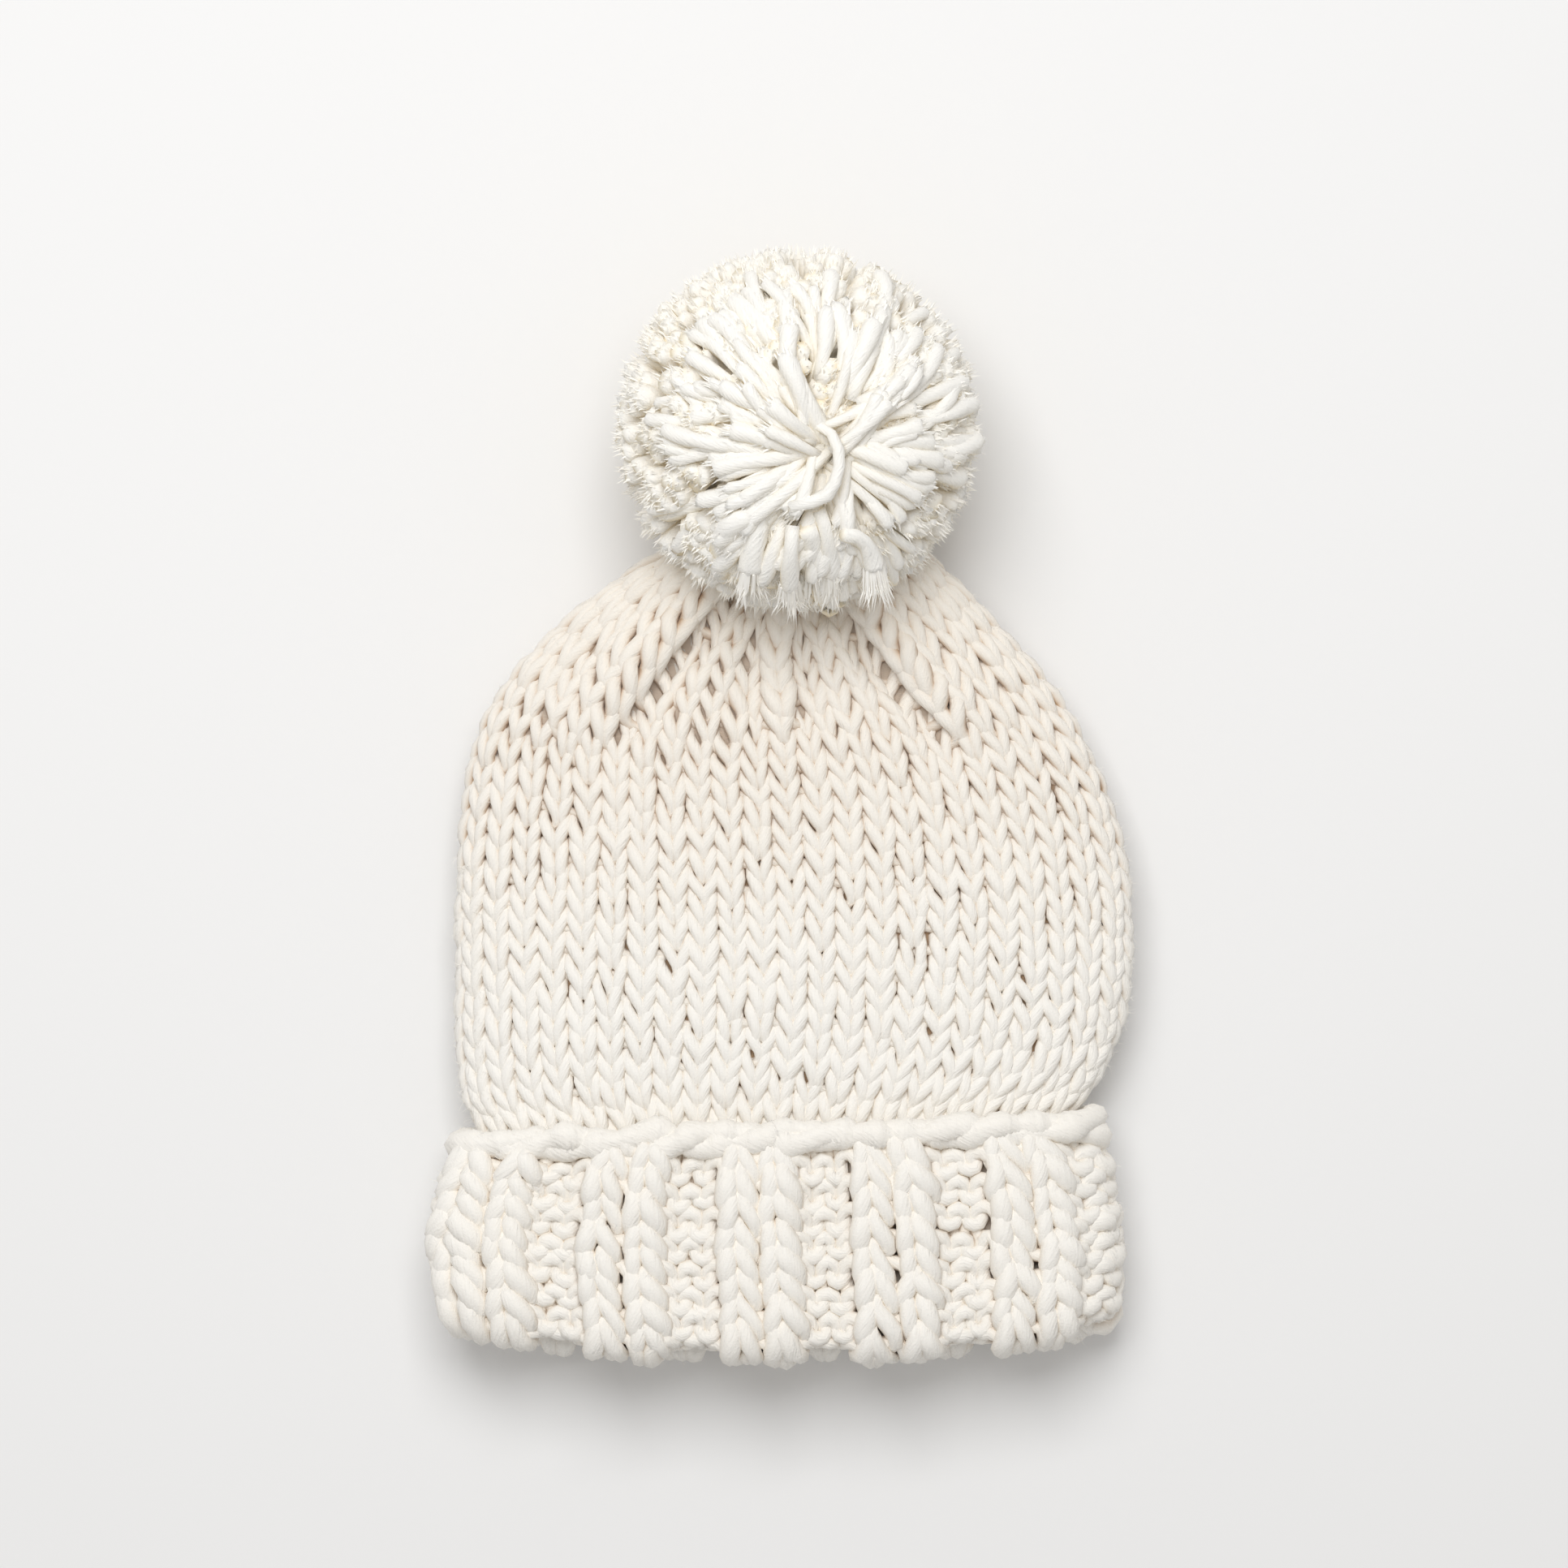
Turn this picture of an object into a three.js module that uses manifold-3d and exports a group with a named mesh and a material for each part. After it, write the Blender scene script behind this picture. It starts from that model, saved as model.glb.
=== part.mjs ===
// A bulky knitted hat with a turned-up ribbed cuff and a wool pompom, lying flat on its back.
// Millimetres, +Z up. +Y runs from the mouth to the pompom, and the floor is the plane z = 0.
import * as THREE from "three";
import { LoftGeometry } from "three/addons/geometries/LoftGeometry.js";
import { mergeVertices } from "three/addons/utils/BufferGeometryUtils.js";
import Module from "manifold-3d";

const wasm = await Module();
wasm.setup();

// Driving dimensions
const HAT_LENGTH = 304;
const WALL = 6.5;
const SEAT_GAP = 0.4;
const SQUARENESS = 2.6;

const FOLD_Y = -HAT_LENGTH / 2;
const HEM_LEDGE = 7;
const HEM_GAP = 0.3;

const CUFF_WALL = 7.5;
const CUFF_HEIGHT = 68;
const CUFF_TILT = 0.03;
const FOLD_BOW = 9;
const HALF_WIDTH = 92;
const RIB_REPEATS = 10;
const RIB_RISE = 1.5;
const RIB_KNIT_SHARE = 0.6;
const RIB_EDGE = 0.16;
const RIB_CENTRE_X = -5;

const WEDGES = 7;
const GATHER_START_Y = 8;
const GATHER_FULL_Y = 60;
const GATHER_DEPTH = 4.2;

const POM_RADIUS = 52;
const POM_CENTRE = new THREE.Vector3(4.5, HAT_LENGTH / 2 - POM_RADIUS + 0.6, 46);
const POM_CORE = 40;
const POM_LOCKS = 58;
const POM_DETAIL = 11;
const LOCK_SPREAD = THREE.MathUtils.degToRad(17);
const LOCK_VARIATION = 2.4;

const CROWN_COLUMNS = 70;
const CUFF_COLUMNS = 90;

// The crown's flattened sections: where each lies along the hat, how far it reaches to the left and right,
// and the heights of its underside and top. An underside below the floor is pressed flat on it.
const CROWN_SECTIONS = [
  { y: FOLD_Y + HEM_LEDGE + HEM_GAP, left: -87, right: 87, under: 8.2, over: 33.6 },
  { y: -120, left: -89.4, right: 86.8, under: 8.2, over: 33.8 },
  { y: -102, left: -86.6, right: 84, under: 8.2, over: 33.8 },
  { y: -86, left: -82.5, right: 80.5, under: 8, over: 33.8 },
  { y: -78, left: -86.8, right: 87.2, under: 3, over: 35.4 },
  { y: -67, left: -88.6, right: 92.4, under: -1.5, over: 36.6 },
  { y: -48, left: -89.2, right: 95.6, under: -2, over: 37 },
  { y: -24, left: -89.2, right: 95.8, under: -2, over: 36.8 },
  { y: 0, left: -87.2, right: 91.2, under: -2, over: 36 },
  { y: 20, left: -83.2, right: 82.7, under: -2, over: 35.2 },
  { y: 37, left: -73.4, right: 71.6, under: -2, over: 34.6 },
  { y: 50, left: -60.4, right: 60.2, under: -0.5, over: 34.6 },
  { y: 60, left: -47.5, right: 50, under: 3, over: 35.4 },
  { y: 68, left: -34, right: 41, under: 7.5, over: 36.4 },
  { y: 74, left: -19, right: 28.5, under: 12, over: 36.6 },
  { y: 77.5, left: -5, right: 15, under: 18, over: 34 },
];
const HOLLOW_END_Y = 66;
const HOLLOW_TAPER_Y = 50;
const HOLLOW_END_SHARE = 0.25;

// The cuff's closed profile, before the crown's room is cut from it. "out" counts outwards from the crown's
// surface, "up" from the fold, and "ribbed" is the share of the ribs' relief that the point carries.
const FACE_OUT = SEAT_GAP + CUFF_WALL;
const CUFF_PROFILE = [
  { out: -WALL, up: HEM_LEDGE + 3, ribbed: 0 },
  { out: -WALL, up: HEM_LEDGE - 2.5, ribbed: 0 },
  { out: -2.4, up: 0.6, ribbed: 0.2 },
  { out: 2.6, up: 0, ribbed: 0.5 },
  { out: FACE_OUT - 1.4, up: 3.2, ribbed: 0.9 },
  { out: FACE_OUT, up: 10, ribbed: 1 },
  { out: FACE_OUT, up: 34, ribbed: 1 },
  { out: FACE_OUT, up: 52, ribbed: 1 },
  { out: FACE_OUT - 0.4, up: CUFF_HEIGHT - 7, ribbed: 0.6 },
  { out: FACE_OUT + 0.4, up: CUFF_HEIGHT - 4, ribbed: 0.2 },
  { out: FACE_OUT - 2, up: CUFF_HEIGHT, ribbed: 0 },
  { out: SEAT_GAP + 1.6, up: CUFF_HEIGHT, ribbed: 0 },
  { out: -WALL / 2, up: CUFF_HEIGHT - 4, ribbed: 0 },
];

// A closed geometry as a solid that can be joined and cut, and back again.
function toSolid(geometry) {
  const bare = new THREE.BufferGeometry().copy(geometry);
  bare.deleteAttribute("normal");
  bare.deleteAttribute("uv");
  const merged = mergeVertices(bare, 1e-3);
  const vertProperties = new Float32Array(merged.attributes.position.array);
  const triVerts = new Uint32Array(merged.index.array);
  return new wasm.Manifold(new wasm.Mesh({ numProp: 3, vertProperties, triVerts }));
}

function toGeometry(solid) {
  const mesh = solid.getMesh();
  const geometry = new THREE.BufferGeometry();
  geometry.setAttribute("position", new THREE.BufferAttribute(mesh.vertProperties, 3));
  geometry.setIndex(new THREE.BufferAttribute(mesh.triVerts, 1));
  geometry.computeVertexNormals();
  return geometry;
}

// Reads every column of a section table at any place along the hat, by smooth interpolation.
function sectionReader(table) {
  const columns = ["left", "right", "under", "over"];
  const places = table.map((row) => row.y);
  const values = table.flatMap((row) => columns.map((name) => row[name]));
  const reader = new THREE.CubicInterpolant(places, values, columns.length);
  return (y) => {
    const [left, right, under, over] = reader.evaluate(y);
    return { y, left, right, under, over };
  };
}
const crownSection = sectionReader(CROWN_SECTIONS);

// A flattened closed section: a superellipse that starts at the middle of its top and runs to the right.
class SectionCurve extends THREE.Curve {
  constructor(section) {
    super();
    this.section = section;
    this.arcLengthDivisions = 400;
  }

  getPoint(t, target = new THREE.Vector3()) {
    const { y, left, right, under, over } = this.section;
    const power = (v) => Math.sign(v) * Math.abs(v) ** (2 / SQUARENESS);
    const angle = 2 * Math.PI * t;
    const x = (left + right) / 2 + ((right - left) / 2) * power(Math.sin(angle));
    const z = (under + over) / 2 + ((over - under) / 2) * power(Math.cos(angle));
    return target.set(x, y, z);
  }
}

// How far a point moves towards the pompom: the fold bows up at its sides and the cuff's top edge tilts.
function lift(x, y) {
  const bowed = 1 - THREE.MathUtils.smoothstep(y, FOLD_Y, FOLD_Y + CUFF_HEIGHT);
  const tilted = 1 - THREE.MathUtils.smoothstep(Math.abs(y - FOLD_Y - CUFF_HEIGHT), 0, CUFF_HEIGHT);
  return FOLD_BOW * bowed * Math.abs(x / HALF_WIDTH) ** 3 + CUFF_TILT * tilted * x;
}

// Points at equal steps round a section, each moved outwards by outAt(share of the way round),
// lifted along the hat and kept above the floor.
function ring(section, count, outAt, y = section.y) {
  const curve = new SectionCurve(section);
  return Array.from({ length: count }, (_, i) => {
    const share = i / count;
    const point = curve.getPointAt(share);
    const tangent = curve.getTangentAt(share);
    const out = outAt(share);
    point.x -= tangent.z * out;
    point.z += tangent.x * out;
    point.y = y + lift(point.x, y);
    point.z = Math.max(point.z, 0);
    return point;
  });
}

// Depth of the gathers: a valley on each decrease line, deepest at the pompom.
function gatherDepth(share, y) {
  const grown = THREE.MathUtils.smoothstep(y, GATHER_START_Y, GATHER_FULL_Y);
  const valley = ((1 + Math.cos(2 * Math.PI * WEDGES * share)) / 2) ** 2;
  return GATHER_DEPTH * grown * valley;
}

// Rings of the crown's outside, from the hem up to the gather. Side and hem clearances enlarge it.
function crownOutside(sideGap, hemGap) {
  return CROWN_SECTIONS.map(({ y }, i) => {
    const outAt = (share) => sideGap - gatherDepth(share, y);
    return ring(crownSection(y), CROWN_COLUMNS, outAt, i === 0 ? y - hemGap : y);
  });
}

// Rings of the head's hollow, from below the hem up to its blind end under the gather.
function hollowRings() {
  const startY = CROWN_SECTIONS[0].y - 2 * HEM_LEDGE;
  const between = CROWN_SECTIONS.map((row) => row.y).filter((y) => y < HOLLOW_END_Y);
  return [startY, ...between.slice(1), HOLLOW_END_Y].map((y) => {
    const section = crownSection(y);
    const ending = THREE.MathUtils.smoothstep(y, HOLLOW_TAPER_Y, HOLLOW_END_Y);
    const share = THREE.MathUtils.lerp(1, HOLLOW_END_SHARE, ending);
    const middle = (section.left + section.right) / 2;
    const floor = Math.max(section.under, 0) + WALL;
    const roof = section.over - WALL;
    const inner = {
      y,
      left: middle + (section.left + WALL - middle) * share,
      right: middle + (section.right - WALL - middle) * share,
      under: (floor + roof) / 2 - ((roof - floor) / 2) * share,
      over: (floor + roof) / 2 + ((roof - floor) / 2) * share,
    };
    return ring(inner, CROWN_COLUMNS, () => 0);
  });
}

// The crown's outside as a filled form. Its bowed hem closes along a seam halfway up the section.
function filledCrown(sideGap, hemGap) {
  const rings = crownOutside(sideGap, hemGap);
  const { under, over } = CROWN_SECTIONS[0];
  const seam = rings[0].map((point) => new THREE.Vector3(point.x, point.y, (under + over) / 2));
  return toSolid(new LoftGeometry([seam, ...rings], { capEnd: true }));
}

// The crown is the filled form with the head's hollow taken out.
function crownGeometry() {
  const hollow = toSolid(new LoftGeometry(hollowRings(), { capStart: true, capEnd: true }));
  return toGeometry(filledCrown(0, 0).subtract(hollow));
}

// Relief of the ribs: 1 on the two knit columns, -1 on the two purl columns, with soft flanks.
function ribRelief(share, perimeter) {
  const shift = RIB_CENTRE_X / perimeter;
  const phase = (share - shift) * RIB_REPEATS;
  const fromCentre = Math.abs(phase - Math.round(phase));
  const flank = THREE.MathUtils.smoothstep(
    fromCentre,
    (RIB_KNIT_SHARE - RIB_EDGE) / 2,
    (RIB_KNIT_SHARE + RIB_EDGE) / 2,
  );
  return 1 - 2 * flank;
}

function cuffGeometry() {
  const rings = CUFF_PROFILE.map(({ out, up, ribbed }) => {
    const hemY = CROWN_SECTIONS[0].y;
    const y = FOLD_Y + up;
    const section = crownSection(Math.max(y, hemY));
    const perimeter = new SectionCurve(section).getLength();
    const outAt = (share) => out + RIB_RISE * ribbed * ribRelief(share, perimeter);
    return ring(section, CUFF_COLUMNS, outAt, y);
  });
  const ribbedRing = toSolid(new LoftGeometry([...rings, rings[0]]));
  return toGeometry(ribbedRing.subtract(filledCrown(SEAT_GAP, HEM_GAP)));
}

// The axes of the pompom's locks, spread evenly over the ball by the golden angle, and their lengths.
function pomLocks() {
  const goldenAngle = Math.PI * (3 - Math.sqrt(5));
  return Array.from({ length: POM_LOCKS }, (_, i) => {
    const height = 1 - (2 * i + 1) / POM_LOCKS;
    const flat = Math.sqrt(1 - height * height);
    const turn = goldenAngle * i;
    const axis = new THREE.Vector3(flat * Math.cos(turn), height, flat * Math.sin(turn));
    const length = POM_RADIUS - LOCK_VARIATION * (0.5 + 0.5 * Math.sin(5.3 * i));
    return { axis, length };
  });
}

// How far the pompom reaches in a direction: each lock is a dome that falls to the ball's core at its edge.
function pomReach(direction, locks) {
  const reaches = locks.map(({ axis, length }) => {
    const away = Math.min(direction.angleTo(axis) / LOCK_SPREAD, 1);
    return POM_CORE + (length - POM_CORE) * Math.sqrt(1 - away ** 3);
  });
  return Math.max(...reaches);
}

// The pompom: its locks are fused to the core in one skin, which is cut to sit on the crown and the floor.
function pomGeometry() {
  const locks = pomLocks();
  const skin = new THREE.IcosahedronGeometry(1, POM_DETAIL);
  const position = skin.attributes.position;
  const point = new THREE.Vector3();
  for (let i = 0; i < position.count; i += 1) {
    point.fromBufferAttribute(position, i).normalize();
    point.multiplyScalar(pomReach(point, locks)).add(POM_CENTRE);
    position.setXYZ(i, point.x, point.y, point.z);
  }
  const room = new THREE.BoxGeometry(HAT_LENGTH, HAT_LENGTH, HAT_LENGTH);
  room.translate(0, POM_CENTRE.y, HAT_LENGTH / 2);
  return toGeometry(toSolid(skin).subtract(filledCrown(SEAT_GAP, 0)).intersect(toSolid(room)));
}

// Each piece of the hat, with the colour of its wool
function piece(name, geometry, color) {
  const material = new THREE.MeshStandardMaterial({ color, roughness: 0.95, metalness: 0 });
  const mesh = new THREE.Mesh(geometry, material);
  mesh.name = name;
  return mesh;
}

const hat = new THREE.Group();
hat.add(piece("crown", crownGeometry(), 0xece5da));
hat.add(piece("cuff", cuffGeometry(), 0xeee8de));
hat.add(piece("pompom", pomGeometry(), 0xf4efe4));

export default hat;
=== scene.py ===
"""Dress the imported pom-pom hat in knitted wool.

The crown and the turned-up cuff are looped yarn that runs round the hat in courses, and the pompom is
a ball of cut strands. Sizes are in millimetres until a mesh is written, which is in metres.
"""

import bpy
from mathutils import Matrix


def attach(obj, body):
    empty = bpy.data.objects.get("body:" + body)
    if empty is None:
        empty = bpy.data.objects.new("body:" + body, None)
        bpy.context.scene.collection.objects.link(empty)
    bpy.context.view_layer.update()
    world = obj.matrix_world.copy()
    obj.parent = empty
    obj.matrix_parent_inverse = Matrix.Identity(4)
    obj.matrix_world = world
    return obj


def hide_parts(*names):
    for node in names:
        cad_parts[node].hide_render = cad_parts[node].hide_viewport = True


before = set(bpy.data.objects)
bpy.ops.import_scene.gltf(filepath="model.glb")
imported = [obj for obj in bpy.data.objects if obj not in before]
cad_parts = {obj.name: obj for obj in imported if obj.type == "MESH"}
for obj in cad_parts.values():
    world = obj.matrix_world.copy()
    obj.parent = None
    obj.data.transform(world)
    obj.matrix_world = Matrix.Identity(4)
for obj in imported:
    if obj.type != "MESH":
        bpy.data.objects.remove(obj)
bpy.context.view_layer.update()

import logging
import math
from dataclasses import dataclass, field
from enum import Enum
from typing import Any, NamedTuple, Union

import bpy
import numpy as np
from mathutils import Vector

Array = np.ndarray
Number = Union[float, Array]

MM = 0.001
# Shares round the hat at its two sides, where the front meets the back.
RIGHT_SIDE = 0.25
LEFT_SIDE = 0.75
# Keeps the direction that a fibre leans off the fibre's own direction.
OFF_AXIS = 0.01
LOG = logging.getLogger("hat")


def smoothstep(x: Number, low: float, high: float) -> Number:
    """Ease from 0 at ``low`` to 1 at ``high``."""
    t = np.clip((x - low) / (high - low), 0.0, 1.0)
    return t * t * (3.0 - 2.0 * t)


def hump(x: Number, middle: float, width: float) -> Number:
    """Rise to 1 at ``middle`` and fall away on both sides."""
    return np.exp(-(((x - middle) / width) ** 2))


def unit(vectors: Array) -> Array:
    """Scale vectors on the last axis to length one."""
    return vectors / np.maximum(np.linalg.norm(vectors, axis=-1, keepdims=True), 1e-9)


def through(knots: Array, values: Array, x: Array) -> Array:
    """Read a smooth curve that passes through the knots.

    Args:
        knots: Rising positions of the knots.
        values: Value at each knot.
        x: Positions to read.

    Returns:
        The cubic between neighbouring knots whose slopes come from the knots on both sides.
    """
    slopes = np.gradient(values, knots)
    i = np.clip(np.searchsorted(knots, x) - 1, 0, len(knots) - 2)
    span = knots[i + 1] - knots[i]
    t = np.clip((x - knots[i]) / span, 0.0, 1.0)
    rise = values[i] * (1 + 2 * t) * (1 - t) ** 2 + values[i + 1] * t * t * (3 - 2 * t)
    return rise + span * t * (1 - t) * (slopes[i] * (1 - t) - slopes[i + 1] * t)


def ball_directions(count: int, turn: float = 0.0) -> Array:
    """Spread unit vectors evenly over a ball along a golden-angle spiral.

    Args:
        count: Number of vectors.
        turn: Angle in radians that turns the spiral about its axis.

    Returns:
        The unit vectors, one a row.
    """
    i = np.arange(count) + 0.5
    height = 1 - 2 * i / count
    angle = i * math.pi * (3 - math.sqrt(5)) + turn
    width = np.sqrt(1 - height**2)
    return np.stack([width * np.cos(angle), height, width * np.sin(angle)], -1)


@dataclass(frozen=True)
class Wave:
    """Gentle wave round the hat."""

    size: float
    count: int

    def at(self, share: Array, phase: Number = 0.0) -> Array:
        """Height of the wave at shares round the hat."""
        return self.size * np.sin(2 * math.pi * self.count * share + phase)


@dataclass
class Skin:
    """Faces of one mesh, gathered from swept tubes and thin shells."""

    points: list[Array] = field(default_factory=list)
    quads: list[Array] = field(default_factory=list)
    tris: list[Array] = field(default_factory=list)
    quad_uvs: list[Array] = field(default_factory=list)
    tri_uvs: list[Array] = field(default_factory=list)
    painted_shades: list[Array] = field(default_factory=list)
    size: int = 0

    def add_tubes(self, rings: Array, painted_shade: Array, start: Array, end: Array, length: Array) -> None:
        """Add tubes with closed ends.

        Args:
            rings: Vertices as tube, station, side and coordinate.
            painted_shade: Shade painted on each vertex for how deep it lies, as tube, station and side.
            start: Pole that closes each tube at its first station.
            end: Pole that closes each tube at its last station.
            length: Distance along each tube at each station.
        """
        tubes, stations, sides, _ = rings.shape
        index = self.size + np.arange(tubes * stations * sides).reshape(tubes, stations, sides)
        turned = np.roll(index, -1, axis=2)
        quads = np.stack([index[:, :-1], turned[:, :-1], turned[:, 1:], index[:, 1:]], -1)
        u = np.broadcast_to(length[:, :, None], (tubes, stations, sides))
        v = np.broadcast_to(np.arange(sides) / sides, (tubes, stations, sides))
        step = 1 / sides
        near, far = u[:, :-1], u[:, 1:]
        low = v[:, :-1]
        quad_uv = np.stack([near, low, near, low + step, far, low + step, far, low], -1)
        pole = self.size + tubes * stations * sides + np.arange(2 * tubes).reshape(2, tubes, 1)
        head, tail = (np.broadcast_to(p, (tubes, sides)) for p in pole)
        first = np.stack([turned[:, 0], index[:, 0], head], -1)
        last = np.stack([index[:, -1], turned[:, -1], tail], -1)
        ends = np.concatenate([first, last]).reshape(-1, 3)
        end_u = np.concatenate([u[:, 0], u[:, -1]]).reshape(-1, 1)
        end_v = np.concatenate([v[:, 0], v[:, 0]]).reshape(-1, 1)
        self.points += [rings.reshape(-1, 3), start, end]
        self.painted_shades += [painted_shade.reshape(-1), painted_shade[:, 0].mean(-1), painted_shade[:, -1].mean(-1)]
        self.quads.append(quads.reshape(-1, 4))
        self.quad_uvs.append(quad_uv.reshape(-1, 4, 2))
        self.tris.append(ends)
        self.tri_uvs.append(np.repeat(np.hstack([end_u, end_v])[:, None], 3, axis=1))
        self.size += tubes * (stations * sides + 2)

    def add_shell(self, outer: Array, inner: Array, painted_shade: Number) -> None:
        """Add a closed thin shell between two grids that wrap in their second direction.

        Args:
            outer: Grid of the outer face, as level, column and coordinate.
            inner: Grid of the inner face, of the same shape.
            painted_shade: Shade painted on the outer face, as one value or as level and column; the inner
                face takes half of it.
        """
        grid = np.concatenate([outer, inner[::-1], outer[:1]])
        levels, columns, _ = grid.shape
        index = self.size + np.arange((levels - 1) * columns).reshape(levels - 1, columns)
        index = np.concatenate([index, index[:1]])
        turned = np.roll(index, -1, axis=1)
        quads = np.stack([index[:-1], turned[:-1], turned[1:], index[1:]], -1).reshape(-1, 4)
        flat = grid[:-1].reshape(-1, 3)
        self.points.append(flat)
        painted_shades = np.broadcast_to(painted_shade, outer.shape[:2])
        self.painted_shades.append(np.concatenate([painted_shades, 0.5 * painted_shades[::-1]]).ravel())
        self.quads.append(quads)
        self.quad_uvs.append(flat[quads - self.size][..., :2])
        self.size += len(flat)

    def mesh(self, name: str, smooth: bool = True) -> bpy.types.Object:
        """Write the gathered faces as one object in metres, flattened where they meet the floor.

        Args:
            name: Name of the object.
            smooth: Whether its faces are shaded smooth.

        Returns:
            The object, linked to the scene.
        """
        points = np.concatenate(self.points)
        points[:, 2] = np.maximum(points[:, 2], 0.0)
        quads = np.concatenate(self.quads)
        tris = np.concatenate(self.tris) if self.tris else np.zeros((0, 3), int)
        corners = np.concatenate([quads.ravel(), tris.ravel()]).astype(np.int32)
        totals = np.repeat([4, 3], [len(quads), len(tris)]).astype(np.int32)
        starts = np.concatenate([[0], np.cumsum(totals)[:-1]]).astype(np.int32)
        uvs = np.concatenate([part.reshape(-1, 2) for part in self.quad_uvs + self.tri_uvs])
        data = bpy.data.meshes.new(name)
        data.vertices.add(len(points))
        data.vertices.foreach_set("co", (points * MM).astype(np.float32).ravel())
        data.loops.add(len(corners))
        data.loops.foreach_set("vertex_index", corners)
        data.polygons.add(len(totals))
        data.polygons.foreach_set("loop_start", starts)
        data.polygons.foreach_set("loop_total", totals)
        data.uv_layers.new(name="yarn").data.foreach_set("uv", uvs.astype(np.float32).ravel())
        # Painted shade: how far each vertex blends towards the warm shade colours in the material.
        painted_shade = data.attributes.new("painted_shade", "FLOAT", "POINT")
        painted_shade.data.foreach_set("value", np.concatenate(self.painted_shades).astype(np.float32))
        data.update(calc_edges=True)
        data.validate()
        data.polygons.foreach_set("use_smooth", np.full(len(data.polygons), smooth))
        piece = bpy.data.objects.new(name, data)
        bpy.context.scene.collection.objects.link(piece)
        return piece


@dataclass(frozen=True)
class Yarn:
    """Soft loosely twisted yarn."""

    radius: float
    sides: int = 8
    ply_depth: float = 0.05
    ply_pitch: float = 17.0
    fluff_and_painted_shade_sheet: float = 0.0
    # How much shade is painted on the yarn's inner side and where it lies deep.
    shade_base: float = 0.3
    shade_inner: float = 0.5
    shade_under: float = 1.1
    shade_fall: float = 1.3

    @property
    def angles(self) -> Array:
        """Angles of the sides round the yarn, from its inner side."""
        return 2 * math.pi * np.arange(self.sides) / self.sides - math.pi / 2

    def rings(self, path: Array, lean: Array, width: Array, closed: bool) -> tuple[Array, Array]:
        """Sweep the yarn along paths.

        Args:
            path: Centre line as strand, station and coordinate.
            lean: Direction at each station that the yarn's outer side faces.
            width: Share of the yarn's radius at each strand and station.
            closed: Whether the path joins its own start.

        Returns:
            Vertices as strand, station, side and coordinate, each a circle about the path with two
            shallow grooves that wind along it and uneven fluff, and the distance along each strand.
        """
        ahead = np.roll(path, -1, axis=1) - path
        if closed:
            tangent = np.roll(path, -1, axis=1) - np.roll(path, 1, axis=1)
        else:
            tangent = np.gradient(path, axis=1)
        tangent = unit(tangent)
        beside = unit(np.cross(lean, tangent))
        above = np.cross(tangent, beside)
        steps = np.linalg.norm(ahead, axis=-1)
        length = np.concatenate([np.zeros((len(path), 1)), np.cumsum(steps, axis=1)[:, :-1]], axis=1)
        angle = self.angles
        whole = steps.sum(axis=1)[:, None, None]
        turns = np.maximum(np.round(whole / self.ply_pitch), 1.0) / whole if closed else 1 / self.ply_pitch
        twist = 2 * math.pi * length[..., None] * turns
        radius = self.radius * width[..., None] * (1 + self.ply_depth * np.cos(2 * angle - twist))
        radius = radius * (1 + np.random.default_rng(path.size).normal(0.0, self.fluff_and_painted_shade_sheet, radius.shape))
        swing = np.cos(angle)[:, None] * beside[:, :, None] + np.sin(angle)[:, None] * above[:, :, None]
        return path[:, :, None] + radius[..., None] * swing, length

    def painted_shade(self, deep: Array) -> Array:
        """Paint shade on the yarn's inner side, and more of it where the yarn lies deep.

        Args:
            deep: How deep the yarn lies at each station.

        Returns:
            Shade painted on each side: a power of how far it faces inwards, and a share of the depth that
                grows with it.
        """
        inner = 0.5 - 0.5 * np.sin(self.angles)
        shade = deep[..., None] * (self.shade_base + self.shade_inner * inner)
        return np.clip(shade + self.shade_under * inner**self.shade_fall, 0.0, 1.0)

    def lay_course(
        self, skin: Skin, path: Array, lean: Array, width: Array, painted_shade: Array, first: int, last: int
    ) -> None:
        """Sweep the yarn along a closed course and add one run of it to a mesh.

        Args:
            skin: Mesh that takes the run.
            path: Centre line as station and coordinate.
            lean: Direction at each station that the yarn's outer side faces.
            width: Share of the yarn's radius at each station.
            painted_shade: How deep each vertex lies between the yarns, as station and side.
            first: Station where the run starts.
            last: Station where the run ends, which is the number of stations for the start again.
        """
        rings, length = self.rings(path[None], lean[None], width[None], True)
        length = np.append(length, 2 * length[:, -1:] - length[:, -2:-1], axis=1)
        picks = np.arange(first, last + 1) % len(path)
        start, end = path[picks[:1]], path[picks[-1:]]
        skin.add_tubes(rings[:, picks], painted_shade[None, picks], start, end, length[:, first : last + 1])


class Stitch(Enum):
    """Side of the cloth that a stitch shows."""

    KNIT = 1.0
    PURL = -1.0


class Course(NamedTuple):
    """Stations of one closed course of loops.

    The share runs round the hat, the rise is in rows, the height is towards the face in millimetres, the
    width is a share of the yarn's radius, and the painted shade tells how deep the yarn lies, which sets
    how much shade is painted on it.
    """

    share: Array
    rise: Array
    height: Array
    width: Array
    painted_shade: Array


@dataclass(frozen=True)
class Hand:
    """How far hand-knitted stitches vary, as standard deviations that one wildness scales."""

    wild: float = 1.0
    sway: float = 0.16
    reach: float = 0.05
    place: float = 0.04
    rise: float = 0.07
    height: float = 0.25
    width: float = 0.06


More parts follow.
